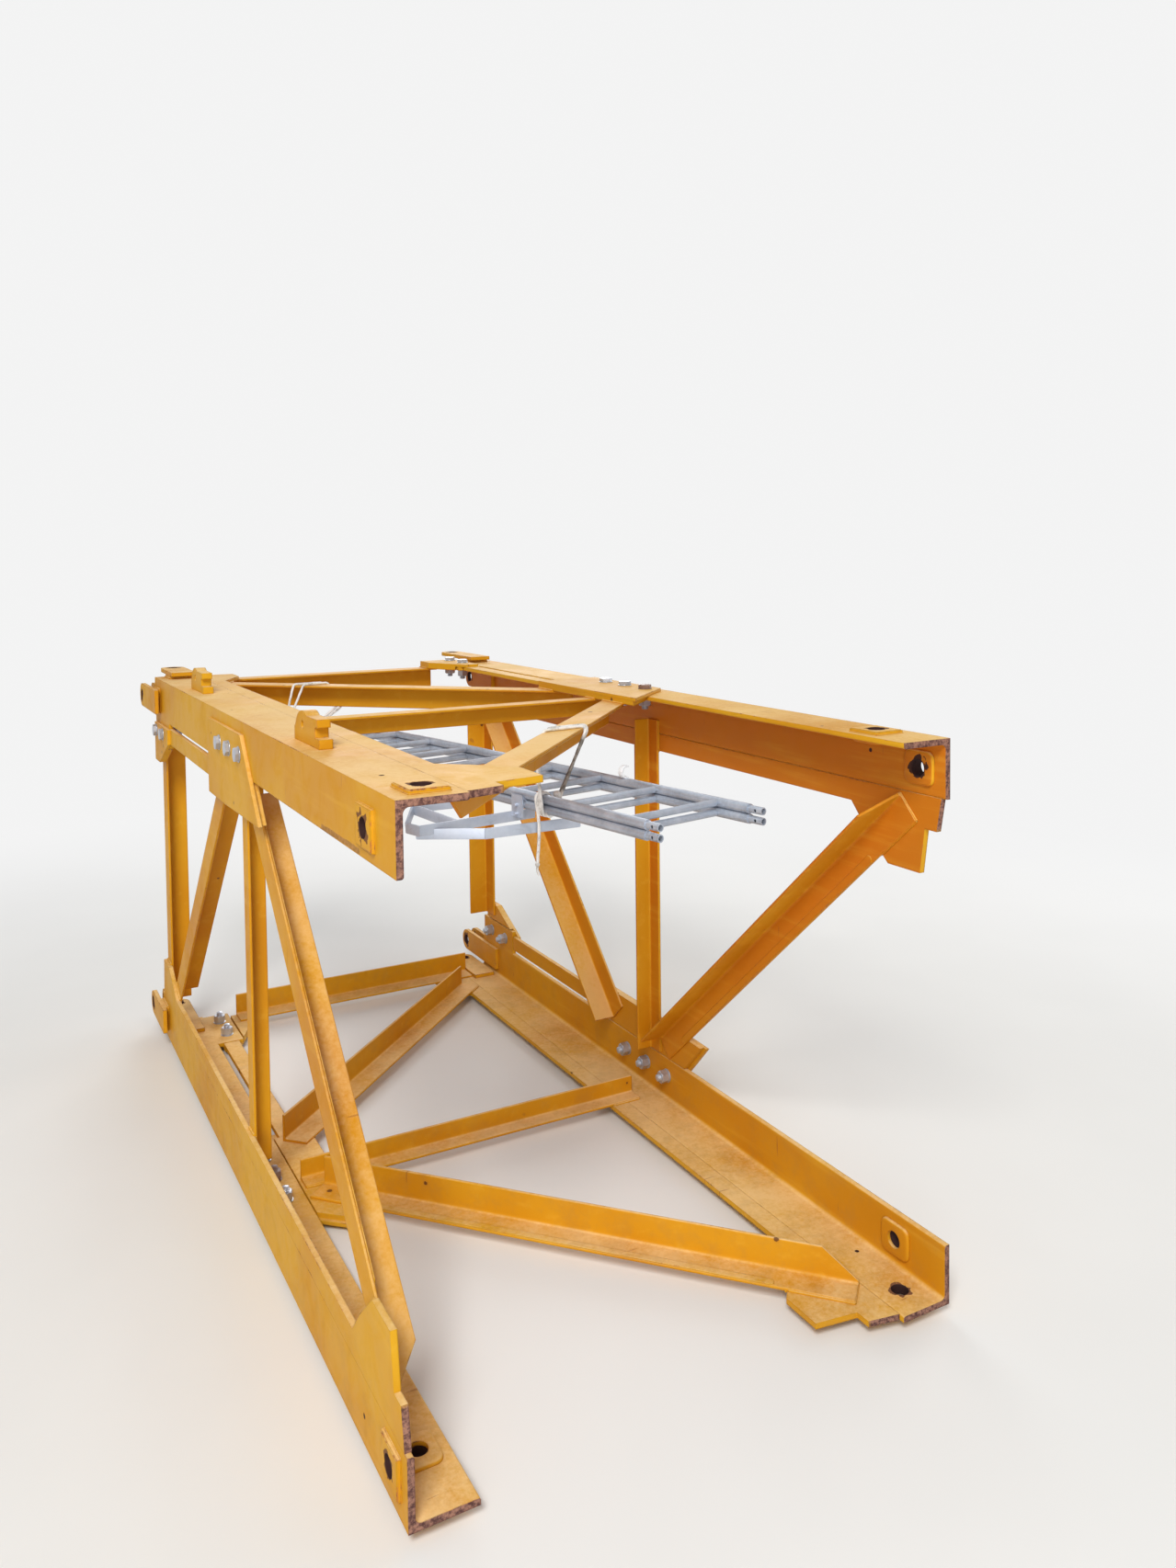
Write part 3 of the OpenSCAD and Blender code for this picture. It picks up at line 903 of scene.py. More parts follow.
@dataclass
class GussetBolts:
    """The bolts that hold one side's bolted gussets to its legs.

    Attributes:
        side: The side.
        zinc: The plated steel's material.
        rusty: The material of a bolt that has rusted.
        flats: Size over the flats.
        head: Height of the head.
        nut: Height of the nut.
        washer: Radius of the washer.
        washer_wall: Thickness of the washer.
        shank: Diameter of the thread.
        thread: Half the thread's pitch.
        lip: Height of the turned rim before it is drawn into a chamfer.
        star_gauge: Distance of the three bolts from the corner.
        far_gauge: Distance of the two far bolts from the corner.
        star_pitch: Pitch of the three bolts.
        far_pitch: Pitch of the two bolts.
        turns: How each hexagon happens to stand, in degrees.
    """

    side: Side
    zinc: Material
    rusty: Material
    flats: float = 0.041
    head: float = 0.0125
    nut: float = 0.029
    washer: float = 0.0245
    washer_wall: float = 0.003
    shank: float = 0.024
    thread: float = 0.0014
    lip: float = 0.0005
    star_gauge: float = 0.096
    far_gauge: float = 0.210
    star_pitch: float = 0.140
    far_pitch: float = 0.150
    turns: tuple[float, ...] = (12.0, 41.0, 3.0, 22.0, 50.0)

    def seats(self) -> list[tuple[float, float]]:
        """Gives each bolt's place on the side, across and along.

        Returns:
            The three bolts of the mid gusset and the two of the far one.
        """
        mid, far = SIZE.length / 2 - 0.010, SIZE.length - 0.175
        star = [(SIZE.width - self.star_gauge, mid + i * self.star_pitch) for i in (-1, 0, 1)]
        return star + [(SIZE.width - self.far_gauge, far + i * self.far_pitch / 2) for i in (-1, 1)]

    def chamfered_hex(self, height: float, both: bool) -> Object:
        """Models a hexagon with turned chamfers.

        Args:
            height: Its height, standing on the plane z = 0.
            both: Whether the lower end is chamfered too.

        Returns:
            The hexagon.
        """
        radius = self.flats / math.sqrt(3)
        body = Bench.rod(6, radius, height, height / 2)
        turned = Bench.rod(36, radius * 1.02, height, height / 2)
        rims = (1, -1) if both else (1,)
        for way in rims:
            Bench.pick(turned, Element.FACE, lambda centre, normal: normal.z * way > 0.9)
            Bench.grow((0, 0, self.lip * way), 0.80, 0.80)
            Bench.done()
        turned.data.transform(Matrix.Translation((0, 0, self.lip if both else 0.0)))
        turned.data.transform(Matrix.Diagonal((1.0, 1.0, height / (height + self.lip * len(rims)), 1.0)))
        Bench.pick(turned, Element.EDGE, lambda middle, way: abs(way.z) < 0.01 and middle.xy.length > radius * 0.9)
        bpy.ops.transform.resize(value=(1.0, 1.0, 0.74 if both else 0.86))
        Bench.done()
        Bench.cut(body, turned, "INTERSECT")
        return body

    def on_washer(self, height: float, both: bool) -> list[Object]:
        """Models a hexagon on its washer with eased rims.

        Args:
            height: The hexagon's height.
            both: Whether its lower end is chamfered too.

        Returns:
            The washer, standing on the plane z = 0, and the hexagon.
        """
        ring = Bench.rod(36, self.washer, self.washer_wall, self.washer_wall / 2)
        Bench.bevel(ring, lambda middle, way: abs(way.z) < 0.01, 0.0007, 2)
        return [ring, Bench.place(self.chamfered_hex(height, both), Matrix.Translation((0, 0, self.washer_wall)))]

    def thread_end(self) -> Object:
        """Models the thread's end that stands out of the nut.

        Returns:
            The stud.
        """
        buried, root, lead = 0.004, 0.90, 0.0016
        stud = Bench.rod(20, self.shank / 2, buried, self.washer_wall + self.nut - buried / 2)
        Bench.pick(stud, Element.FACE, lambda centre, normal: normal.z > 0.9)
        for narrow in (root, 1 / root) * 4:
            Bench.grow((0, 0, self.thread), narrow, narrow)
        Bench.grow((0, 0, lead), 0.78, 0.78)
        bpy.ops.mesh.inset(thickness=0.004)
        bpy.ops.transform.translate(value=(0, 0, 0.0012))
        Bench.done()
        return stud

    def build(self) -> None:
        """Builds the side's bolts, with a rusty head on the top side and a rusty nut on the bottom side."""
        name = self.side.name.lower()
        places = [(*seat, turn) for seat, turn in zip(self.seats(), self.turns)]
        heads = [seated(self.side, a, y, SIZE.gusset_wall, turn) for a, y, turn in places]
        nuts = [seated(self.side, a, y, -SIZE.leg_wall, turn * 1.7, flip=True) for a, y, turn in places]
        head = Bench.join(self.on_washer(self.head, both=False), "bolt_head")
        nut = Bench.join(self.on_washer(self.nut, both=True) + [self.thread_end()], "bolt_nut")
        groups = {"heads": Bench.copies(head, heads), "nuts": Bench.copies(nut, nuts)}
        spoiled = {Side.TOP: ("heads", 0), Side.BOTTOM: ("nuts", 1)}
        if self.side in spoiled:
            label, which = spoiled[self.side]
            Bench.finish(Bench.join([groups[label].pop(which)], f"rusted_bolt_{name}"), self.rusty, "zinc_grey")
        for label, group in groups.items():
            Bench.finish(Bench.join(group, f"bolt_{label}_{name}"), self.zinc, "zinc_grey")


@dataclass
class WeldBeads:
    """Hand-laid weld beads, modelled as one ripple that is repeated along each run.

    Attributes:
        paint: The material of the painted beads.
        pitch: Distance from ripple to ripple.
        radius: Radius of the bead.
        waist: Share of the radius where two ripples meet.
        runs: The beads laid since the last were gathered.
        ripple: The one ripple.
    """

    paint: Material
    pitch: float = 0.0052
    radius: float = 0.0048
    waist: float = 0.86
    runs: list[Object] = field(default_factory=list)
    ripple: Object = field(init=False)

    def __post_init__(self) -> None:
        """Models the ripple, an open ring along +X from the origin that swells at its middle."""
        waist, half = self.waist, self.pitch * 0.5
        ring = Bench.rod(8, self.radius * waist, half, half / 2, end_fill_type="NOTHING")
        Bench.pick(ring, Element.EDGE, lambda middle, way: abs(way.z) < 0.01 and middle.z > self.pitch * 0.4)
        bpy.ops.transform.resize(value=(1 / waist, 1 / waist, 1.0))
        bpy.ops.mesh.extrude_edges_move(TRANSFORM_OT_translate={"value": (0, 0, half)})
        bpy.ops.transform.resize(value=(waist, waist, 1.0))
        Bench.done()
        self.ripple = Bench.place(ring, Matrix.Rotation(math.pi / 2, 4, "Y"))

    def lay(self, seat: Matrix, start: Point, end: Point, size: float) -> None:
        """Lays a bead between two points of a side.

        Args:
            seat: Matrix from the points' axes to the section's frame.
            start: Where the bead starts.
            end: Where it ends.
            size: Factor on the bead's thickness.
        """
        way = Vector(end) - Vector(start)
        run = Bench.duplicate(self.ripple)
        count = max(4, round(way.length / self.pitch))
        Bench.apply(run, "ARRAY", count=count, use_relative_offset=False, use_constant_offset=True,
                    constant_offset_displace=(self.pitch, 0, 0), use_merge_vertices=True, merge_threshold=0.0002)
        Bench.mend(run, lambda: bpy.ops.mesh.fill_holes(sides=12))
        stretch = Matrix.Diagonal((way.length / (count * self.pitch), size, size, 1.0))
        self.runs.append(Bench.place(run, seat @ Matrix.Translation(start) @ aimed(way) @ stretch))

    def gather(self, name: str) -> None:
        """Joins the beads laid so far into one piece.

        Args:
            name: The piece's name.
        """
        piece = Bench.join(self.runs, name)
        self.runs = []
        Bench.roughen(piece, f"{name}_uneven", 0.016, 0.0016)
        Bench.finish(piece, self.paint, "leg_yellow", 60.0)


@dataclass
class SideWelds:
    """The weld runs of one side.

    Attributes:
        side: The side.
        beads: The bead maker.
        strut: Where the mid strut lies along the side.
        half: Half the strut's width.
        pad: Half the width and length of a doubler pad.
    """

    side: Side
    beads: WeldBeads
    strut: float = SIZE.length / 2 - SIZE.strut_back
    half: float = 0.031
    pad: tuple[float, float] = (0.0465, 0.0525)

    def edge_runs(self) -> list[Run]:
        """Gives the runs where a gusset's edge stands on a member, across and along.

        Returns:
            The runs.
        """
        low, high = self.strut - self.half, self.strut + self.half
        return [((0.355, 0.236), (0.290, 0.306)), ((0.225, 2.668), (0.271, 2.754)), ((0.224, low), (0.224, high)),
                ((1.226, 1.205), (1.2215, 1.334)), ((1.2205, low), (1.219, high)), ((1.2145, 1.702), (1.2145, 1.816)),
                ((0.3125, 2.862), (0.3125, 2.948)), ((1.1610, 2.862), (1.1610, 2.948))]

    def inner_runs(self) -> list[Run]:
        """Gives the runs along the members' edges on the gussets' inner faces.

        Returns:
            The runs.
        """
        beside = 0.0335
        runs = [((0.2335, 0.101), (0.350, 0.231)), ((0.168, 0.163), (0.289, 0.298)),
                ((0.2335, 0.101), (0.168, 0.163)), ((0.2314, 2.787), (0.1686, 2.723)),
                ((0.1686, 2.723), (0.222, 2.670)), ((0.2314, 2.787), (0.267, 2.752))]
        for edge in (self.strut - beside, self.strut + beside):
            runs += [((0.112, edge), (0.220, edge)), ((1.222, edge), (1.328, edge))]
        return runs

    def pad_runs(self, across: float, along: float) -> list[Run]:
        """Gives the runs round a doubler pad.

        Args:
            across: The pad's middle across.
            along: Its middle along.

        Returns:
            The runs.
        """
        quarters = ((-1, -1), (1, -1), (1, 1), (-1, 1))
        corners = [(across + x * self.pad[0], along + y * self.pad[1]) for x, y in quarters]
        return list(zip(corners, corners[1:] + corners[:1]))

    def ear_runs(self, centre: float) -> list[Run]:
        """Gives the runs round the root of a fishplate.

        Args:
            centre: Its middle across.

        Returns:
            The runs.
        """
        half, inside, root, butt = SIZE.ear_width / 2, 0.046, 2.859, 2.978
        sides = [((edge, 2.862), (edge, butt)) for edge in (centre - half, centre + half)]
        return sides + [((centre - inside, root), (centre + inside, root))]

    def build(self) -> None:
        """Lays the side's runs at their heights and sizes."""
        own, far, plane = SIZE.pin_gauge, SIZE.width - SIZE.pin_gauge, -SIZE.leg_wall
        pads = self.pad_runs(own, SIZE.own_pin) + self.pad_runs(far, SIZE.before_pin)
        ears = self.ear_runs(own) + self.ear_runs(far)
        layers = ((self.edge_runs(), plane + 0.001, 0.9), (self.inner_runs(), plane - 0.002, 0.8),
                  (pads, 0.0006, 0.42), (ears, 0.002, 1.0))
        for runs, level, size in layers:
            for start, end in runs:
                self.beads.lay(SIZE.on_side(self.side), (*start, level), (*end, level), size)
        self.beads.gather(f"welds_{self.side.name.lower()}")


@dataclass
class InnerPads:
    """The bevelled doubler pads on the inner faces of the bolted flanges, and the greased one near the camera.

    Attributes:
        paint: Their material.
        greased: The material of the greased one, on the top right leg's side flange.
        rise: Their height.
        wide: Their side across the flange.
        long: Their side along the leg.
        bore: Radius of the pin bore.
        corner: Radius of their corners.
        chamfer: Width of their bevelled upper edges.
    """

    paint: Material
    greased: Material
    rise: float = 0.010
    wide: float = 0.092
    long: float = 0.104
    bore: float = 0.0232
    corner: float = 0.022
    chamfer: float = 0.0060

    def model(self) -> Object:
        """Models one pad about the bore.

        Returns:
            The pad, standing on the plane z = 0.
        """
        pad = Bench.block((self.wide, self.long, self.rise), (0, 0, self.rise / 2))
        Bench.bevel(pad, lambda middle, way: abs(way.z) > 0.9, self.corner, 6)
        Bench.bevel(pad, lambda middle, way: abs(way.z) < 0.1 and middle.z > self.rise * 0.9, self.chamfer, 3)
        Bench.cut(pad, Bench.rod(48, self.bore, self.rise * 3, self.rise / 2))
        return pad

    def build(self) -> None:
        """Builds the greased pad, and the other four as one piece."""
        turn = Matrix.Rotation(math.pi, 4, "Y")
        seats = [(side, SIZE.width - SIZE.pin_gauge, SIZE.before_pin) for side in Side]
        seats.append((Side.RIGHT, SIZE.pin_gauge, SIZE.own_pin))
        made = Bench.copies(self.model(), [seated(*seat, -SIZE.leg_wall) @ turn for seat in seats])
        Bench.finish(Bench.join(made[4:], "greased_pad"), self.greased, "leg_yellow")
        Bench.finish(Bench.join(made[:4], "inner_pads"), self.paint, "leg_yellow")


@dataclass
class ToeStrips:
    """The thin strips along the toes of the near diagonals, on their inner faces.

    Attributes:
        paint: Their material.
        wide: Their width.
        wall: Their thickness.
        brace: The two ends of a near diagonal's middle line, across and along.
        short: How much shorter they are than that line.
        inset: How far from its first end they start.
        toe: How far across from it they lie.
        sunk: How far under the leg's inner face they lie.
        rounding: Radius of their corners, as a share of the width.
        ease: Width of the bevel on their free edges.
    """

    paint: Material
    wide: float = 0.024
    wall: float = 0.003
    brace: Run = ((0.200, 0.131), (1.301, 1.356))
    short: float = 0.35
    inset: float = 0.215
    toe: float = 0.0325
    sunk: float = 0.0079
    rounding: float = 0.42
    ease: float = 0.0009

    def model(self, length: float) -> Object:
        """Models one strip with rounded ends, along +X from the origin, on the plane z = 0 and downwards.

        Args:
            length: Its length.

        Returns:
            The strip.
        """
        strip = Bench.block((length, self.wide, self.wall), (length / 2, 0, -self.wall / 2))
        Bench.bevel(strip, lambda middle, way: abs(way.z) > 0.9, self.wide * self.rounding, 5)
        Bench.bevel(strip, lambda middle, way: abs(way.z) < 0.1 and middle.z < -self.wall * 0.9, self.ease, 1)
        return strip

    def build(self) -> None:
        """Builds all four as one piece."""
        first, last = (Vector((*end, 0.0)) for end in self.brace)
        way = (last - first).normalized()
        turn = Matrix.Rotation(math.atan2(way.y, way.x), 4, "Z")
        seat = Matrix.Translation((0, -self.toe, -SIZE.leg_wall - self.sunk))
        start = Matrix.Translation(first + way * self.inset)
        places = [SIZE.on_side(side) @ start @ turn @ seat for side in Side]
        made = Bench.copies(self.model((last - first).length - self.short), places)
        Bench.finish(Bench.join(made, "toe_strips"), self.paint, "brace_yellow")


@dataclass
class LadderFittings:
    """The galvanised flat-bar bracket, the clamp and the clip on the stowed ladders.

    Attributes:
        zinc: The bars' material.
        white: The clip's material.
        depth: Depth of the flat bars.
        wall: Thickness of the flat bars.
        clamp_at: Where the clamp holds the left rail.
        clip_at: Where the clip stands over the right rail.
        stand: Height of the clip's middle over the rail's.
        rail_turn: How the ladders are turned from the section's axis, in degrees.
        clip_turn: How the clip is turned, in degrees.
    """

    zinc: Material
    white: Material
    depth: float = 0.030
    wall: float = 0.006
    clamp_at: tuple[float, float] = (-0.0733, -0.770)
    clip_at: tuple[float, float] = (0.2656, -0.780)
    stand: float = 0.0135 + 0.0185
    rail_turn: float = 10.3
    clip_turn: float = 12.0

    def bar(self, start: Point, end: Point) -> Object:
        """Models a flat bar on edge between two points.

        Args:
            start: Middle of its first end.
            end: Middle of its other end.

        Returns:
            The bar.
        """
        way = Vector(end) - Vector(start)
        piece = Bench.block((way.length, self.wall, self.depth), (way.length / 2, 0, 0))
        Bench.bevel(piece, lambda middle, along: abs(along.y) > 0.9, 0.004, 3)
        Bench.bevel(piece, lambda middle, along: abs(along.x) > 0.9, 0.0009, 2)
        return Bench.place(piece, Matrix.Translation(start) @ aimed(way))

    def clamp(self) -> Object:
        """Models the strap bent over the upper rail with its drilled plate.

        Returns:
            The clamp.
        """
        gap, wall, long, deep = 0.0142, 0.004, 0.054, 0.066
        wrap, holes, drill = math.radians(205), (-0.030, -0.056), 0.0050
        plate = Bench.block((wall, long, deep), (-gap - wall / 2, 0, -deep / 2))
        Bench.pick(plate, Element.FACE, lambda centre, normal: normal.z > 0.9)
        bpy.ops.mesh.spin(steps=12, angle=wrap, center=(0, 0, 0), axis=(0, 1, 0))
        Bench.mend(plate)
        for height in holes:
            across = Matrix.Translation((-gap, 0.0, height)) @ Matrix.Rotation(math.pi / 2, 4, "Y")
            Bench.cut(plate, Bench.place(Bench.rod(20, drill, 0.03), across))
        seat = Matrix.Translation((*self.clamp_at, SIZE.upper_rail))
        return Bench.place(plate, seat @ Matrix.Rotation(math.radians(self.rail_turn), 4, "Z"))

    def clip(self) -> Object:
        """Models the open clip.

        Returns:
            The clip.
        """
        radius, long, wall, mouth = 0.0150, 0.018, 0.0048, 0.0065
        ring = Bench.rod(28, radius, long, end_fill_type="NOTHING")
        Bench.pick(ring, Element.FACE, lambda centre, normal: centre.x > mouth)
        bpy.ops.mesh.delete(type="FACE")
        Bench.done()
        Bench.apply(ring, "SOLIDIFY", thickness=wall, offset=1.0)
        Bench.bevel(ring, lambda middle, way: middle.xy.length > 0.010, 0.0006, 2)
        seat = Matrix.Translation((*self.clip_at, SIZE.upper_rail + self.stand))
        turn = Matrix.Rotation(math.radians(self.clip_turn), 4, "Z") @ Matrix.Rotation(math.pi / 2, 4, "X")
        return Bench.place(ring, seat @ turn)

    def build(self) -> None:
        """Builds the bracket with its clamp, and the clip."""
        low, mid = 1.246, 1.260
        hook, heel = (-0.4095, -0.7277, mid), (-0.3650, -0.6620, 1.296)
        runs = [((-0.392, -0.756, low), (-0.2204, -0.8548, low)), ((-0.2290, -0.8540, low), (0.0688, -0.8576, low)),
                ((-0.3926, -0.7866, mid), (-0.0174, -0.7368, mid)), (hook, (-0.3920, -0.7911, mid)),
                ((-0.3650, -0.6620, 1.300), (-0.2277, -0.6666, 1.300)), (heel, (-0.2774, -0.7690, mid)), (hook, heel)]
        bars = [self.bar(start, end) for start, end in runs]
        Bench.finish(Bench.join(bars + [self.clamp()], "ladder_bracket"), self.zinc, "zinc_grey")
        Bench.finish(Bench.join([self.clip()], "rail_clip"), self.white, "rope_white", 50.0)


@dataclass(frozen=True)
class Peg:
    """A round that the taut rope bends about, seen along the section.

    Attributes:
        x: Its middle across.
        z: Its middle in height.
        radius: Radius that the rope's own middle keeps.
        y: Where the rope passes it along the section.
    """

    x: float
    z: float
    radius: float
    y: float

    def rim(self, angle: float, y: float) -> Vector:
        """Gives the point at an angle on the peg."""
        return Vector((self.x + self.radius * math.cos(angle), y, self.z + self.radius * math.sin(angle)))

    def leave(self, after: "Peg") -> float:
        """Gives the angle at which a rope going anticlockwise leaves for the next peg.

        Args:
            after: The next peg.

        Returns:
            The angle.
        """
        over, up = after.x - self.x, after.z - self.z
        lean = math.asin((after.radius - self.radius) / math.hypot(over, up))
        return math.atan2(up, over) - math.pi / 2 - lean


@dataclass
class LashingRope:
    """A thin laid rope that ties the ladders to a diagonal of the top side.

    Attributes:
        node: The CAD node that it stands for.
        rope: Its material.
        brace_x: Middle of the diagonal where the rope crosses it.
        brace_slope: How fast that middle moves across along the section.
        heel_right: Whether the diagonal's inward flange is on the right.
        rail_x: Middle of the ladders' left rails there.
        along: Distance from the near butt face.
        half: Half the diagonal's run across.
        rail_slope: How fast the rails move across along the section.
        rail_radius: Radius of a rail.
        corner: Radius that the rope keeps at the diagonal's edges.
        flange: Height of the diagonal's inward flange, corner to corner.
        back: Where the first turn passes behind the rails.
        diameter: Thickness of the rope.
        strands: Strands in the lay.
        lay_length: Length of one full turn of the strands.
        tail: How far the free end hangs.
        step: Distance from point to point of the line.
        crossings: Where each turn passes the diagonal's left and right edges, from the lashing's middle.
        under: Where the first turn passes under an inward flange on the left.
        spacing: Distance from turn to turn, in diameters.
        lag: How far a turn moves on from the lower to the upper rail, in turns.
        clearance: Gap between the rope and the diagonal's edges.
        meeting: Angle at which the rope meets the first rail, in degrees.
        bend: Largest bend from point to point on a peg, in degrees.
        drift: Share of the way to the next peg that the rope makes on this one.
    """

    node: str
    rope: Material
    brace_x: float
    brace_slope: float
    heel_right: bool
    rail_x: float
    along: float
    half: float
    rail_slope: float = -0.1817
    rail_radius: float = 0.0138
    corner: float = 0.0080
    flange: float = 0.0825
    back: float = -0.066
    diameter: float = 0.0095
    strands: int = 3
    lay_length: float = 0.034
    tail: float = 0.185
    step: float = 0.0030
    crossings: Run = ((-0.012, 0.012), (0.018, 0.029))
    under: float = -0.052
    spacing: float = 1.14
    lag: float = 0.6
    clearance: float = 0.0008
    meeting: float = -150.0
    bend: float = 24.0
    drift: float = 0.12

    def rail_peg(self, height: float, shift: float) -> Peg:
        """Gives the peg of a ladder's rail, which the rope passes so far from the lashing's middle."""
        return Peg(self.rail_x + self.rail_slope * shift, height, self.rail_radius + self.diameter / 2,
                   SIZE.near_y + self.along + shift)

    def brace_peg(self, right: bool, low: bool, shift: float) -> Peg:
        """Gives the peg at an edge of the diagonal.

        Args:
            right: Whether it is the right-hand edge.
            low: Whether it is the lower edge of the inward flange.
            shift: How far from the lashing's middle the rope passes it.

        Returns:
            The peg.
        """
        way = 1 if right else -1
        middle = self.brace_x + self.brace_slope * shift + way * (self.half - self.corner)
        top = SIZE.pack_out + SIZE.width - SIZE.leg_wall
        height = top - (self.flange if low else self.corner)
        return Peg(middle, height, self.corner + self.diameter / 2 + self.clearance,
                   SIZE.near_y + self.along + shift)

    def pegs(self) -> list[Peg]:
        """Gives all the pegs in the order in which the rope passes them.

        Returns:
            The pegs of two turns over the diagonal and two small ones round the rails.
        """
        order: list[Peg] = []
        pitch = self.diameter * self.spacing
        for turn, (left, right) in enumerate(self.crossings):
            back = self.back + pitch * turn
            order.append(self.rail_peg(SIZE.lower_rail, back))
            if self.heel_right:
                order.append(self.brace_peg(True, True, (back + right) / 2))
            order += [self.brace_peg(True, False, right), self.brace_peg(False, False, left)]
            if self.heel_right:
                order.append(self.rail_peg(SIZE.upper_rail, back + pitch * self.lag))
            else:
                order.append(self.brace_peg(False, True, self.under + pitch * turn))
        for turn in (2, 3):
            back = self.back + pitch * turn
            order += [self.rail_peg(SIZE.lower_rail, back), self.rail_peg(SIZE.upper_rail, back + pitch * self.lag)]
        return order

    def knots(self) -> list[Vector]:
        """Gives the points of the rope's line.

        Returns:
            The points, in the section's frame.
        """
        order = self.pegs()
        points: list[Vector] = []
        enter = math.radians(self.meeting)
        for peg, after in zip(order, order[1:]):
            leave = peg.leave(after)
            while leave < enter:
                leave += math.tau
            steps = max(2, math.ceil((leave - enter) / math.radians(self.bend)))
            for k in range(steps + 1):
                drift = (after.y - peg.y) * self.drift * k / steps
                points.append(peg.rim(enter + (leave - enter) * k / steps, peg.y + drift))
            enter = leave % math.tau
        last, leave, steps = order[-1], math.pi * 0.97, 8
        enter = (enter + math.pi) % math.tau - math.pi
        for k in range(1, steps + 1):
            points.append(last.rim(enter + (leave - enter) * k / steps, last.y + 0.0007 * k))
        end, steps = points[-1], 7
        for k in range(1, steps + 1):
            share = k / steps
            sway = 0.004 * share + 0.006 * math.sin(share * 4.0)
            points.append(end + Vector((sway, -0.008 * math.sin(share * 1.6), -self.tail * share)))
        return points

    def route(self) -> list[Vector]:
        """Gives the smooth, evenly spaced line of the rope.

        Returns:
            The points.
        """
        knots = self.knots()
        ends = knots[:1]
        for point in knots[1:]:
            if (point - ends[-1]).length > self.step / 2:
                ends.append(point)
        line = ends[:1]
        for point in ends[1:]:
            while (point - line[-1]).length >= self.step:
                line.append(line[-1] + (point - line[-1]).normalized() * self.step)
        for _ in range(4):
            inner = [(a + b * 2 + c) / 4 for a, b, c in zip(line, line[1:], line[2:])]
            line = [line[0]] + inner + [line[-1]]
        return line

    def section(self) -> Object:
        """Draws the rope's lobed cross-section.

        Returns:
            A closed flat curve.
        """
        count, groove = 18, 0.14
        Bench.clear()
        bpy.ops.curve.primitive_bezier_circle_add(radius=self.diameter / 2)
        profile = bpy.context.object
        profile.data.splines.clear()
        ring = profile.data.splines.new("POLY")
        ring.points.add(count - 1)
        ring.use_cyclic_u = True
        for i in range(count):
            angle = math.tau * i / count
            radius = self.diameter / 2 * (1.0 - groove + groove * abs(math.cos(angle * self.strands / 2)))
            ring.points[i].co = (radius * math.cos(angle), radius * math.sin(angle), 0, 1)
        return profile

    def build(self) -> None:
        """Builds the rope, which is one cord, and the knot at its end."""
        line = self.route()
        profile = self.section()
        path = bpy.data.curves.new(self.node + "_rope", "CURVE")
        path.dimensions = "3D"
        path.twist_mode = "MINIMUM"
        spline = path.splines.new("POLY")
        spline.points.add(len(line) - 1)
        length = 0.0
        for i, point in enumerate(line):
            length += (point - line[i - 1]).length if i else 0.0
            spline.points[i].co = (*point, 1)
            spline.points[i].tilt = length / self.lay_length * math.tau / self.strands
        path.bevel_mode = "OBJECT"
        path.bevel_object = profile
        path.use_fill_caps = True
        Bench.hold(put(path, Matrix()))
        bpy.ops.object.convert(target="MESH")
        rope = bpy.context.object
        Bench.drop(profile)
        Bench.mend(rope, lambda: bpy.ops.mesh.remove_doubles(threshold=0.0001))
        Bench.finish(rope, self.rope, "rope_white", 50.0)
        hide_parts(self.node)
        knot = self.knot(line[-1])
        LOG.info("%s: %.2f m of rope", self.node, length)

    def knot(self, where: Vector) -> Object:
        """Models the knot on the falling strands and the frayed end of the tail.

        Args:
            where: The rope's end.

        Returns:
            The knot and the tuft as one piece.
        """
        tuft = Bench.start("uv_sphere", segments=16, ring_count=10, radius=self.diameter * 0.72, location=(0, 0, 0))
        Bench.pick(tuft, Element.FACE, lambda centre, normal: normal.z < -0.82)
        bpy.ops.mesh.inset(thickness=0.0009)
        for step in range(4):
            Bench.grow((0.0008 * step, 0.0004, -0.0065), *((1.10, 1.14) if step < 2 else (0.74, 0.80)))
        Bench.done()
        tuft = Bench.place(tuft, Matrix.Translation(where + Vector((0, 0, -0.002))))
        lump = Bench.start("uv_sphere", segments=20, ring_count=12, radius=self.diameter * 1.15, location=(0, 0, 0))
        Bench.pick(lump, Element.FACE, lambda centre, normal: abs(normal.z) < 0.35)
        bpy.ops.mesh.extrude_region_shrink_fatten(TRANSFORM_OT_shrink_fatten={"value": 0.0022})
        Bench.done()
        first = self.pegs()[0]
        seat = Matrix.Translation((first.x + 0.0235, first.y + 0.006, SIZE.upper_rail + 0.014))
        lump = Bench.place(lump, seat @ Matrix.Rotation(math.radians(34), 4, "Y"))
        piece = Bench.join([tuft, lump], self.node + "_knot")
        Bench.apply(piece, "SUBSURF", levels=1, render_levels=1)
        Bench.roughen(piece, self.node + "_lay", 0.006, 0.0036)
        return Bench.finish(piece, self.rope, "rope_white", 60.0)


@dataclass(frozen=True)
class Softbox:
    """One lamp.

    Attributes:
        light: Which lamp it is.
        place: Where it hangs.
        aim: What it points at.
        size: Its side.
        power: Its power in watts.
        tint: Its colour.
    """

    light: Light
    place: Point
    aim: Point
    size: float
    power: float
    tint: Point = WHITE[:3]

    def hang(self) -> None:
        """Hangs the lamp."""
        data = bpy.data.lights.new(self.light.value, "AREA")
        data.shape = "SQUARE"
        data.size = self.size
        data.energy = self.power
        data.color = self.tint
        put(data, Matrix.Translation(self.place) @ aimed(Vector(self.aim) - Vector(self.place), "-Z", "Y"))


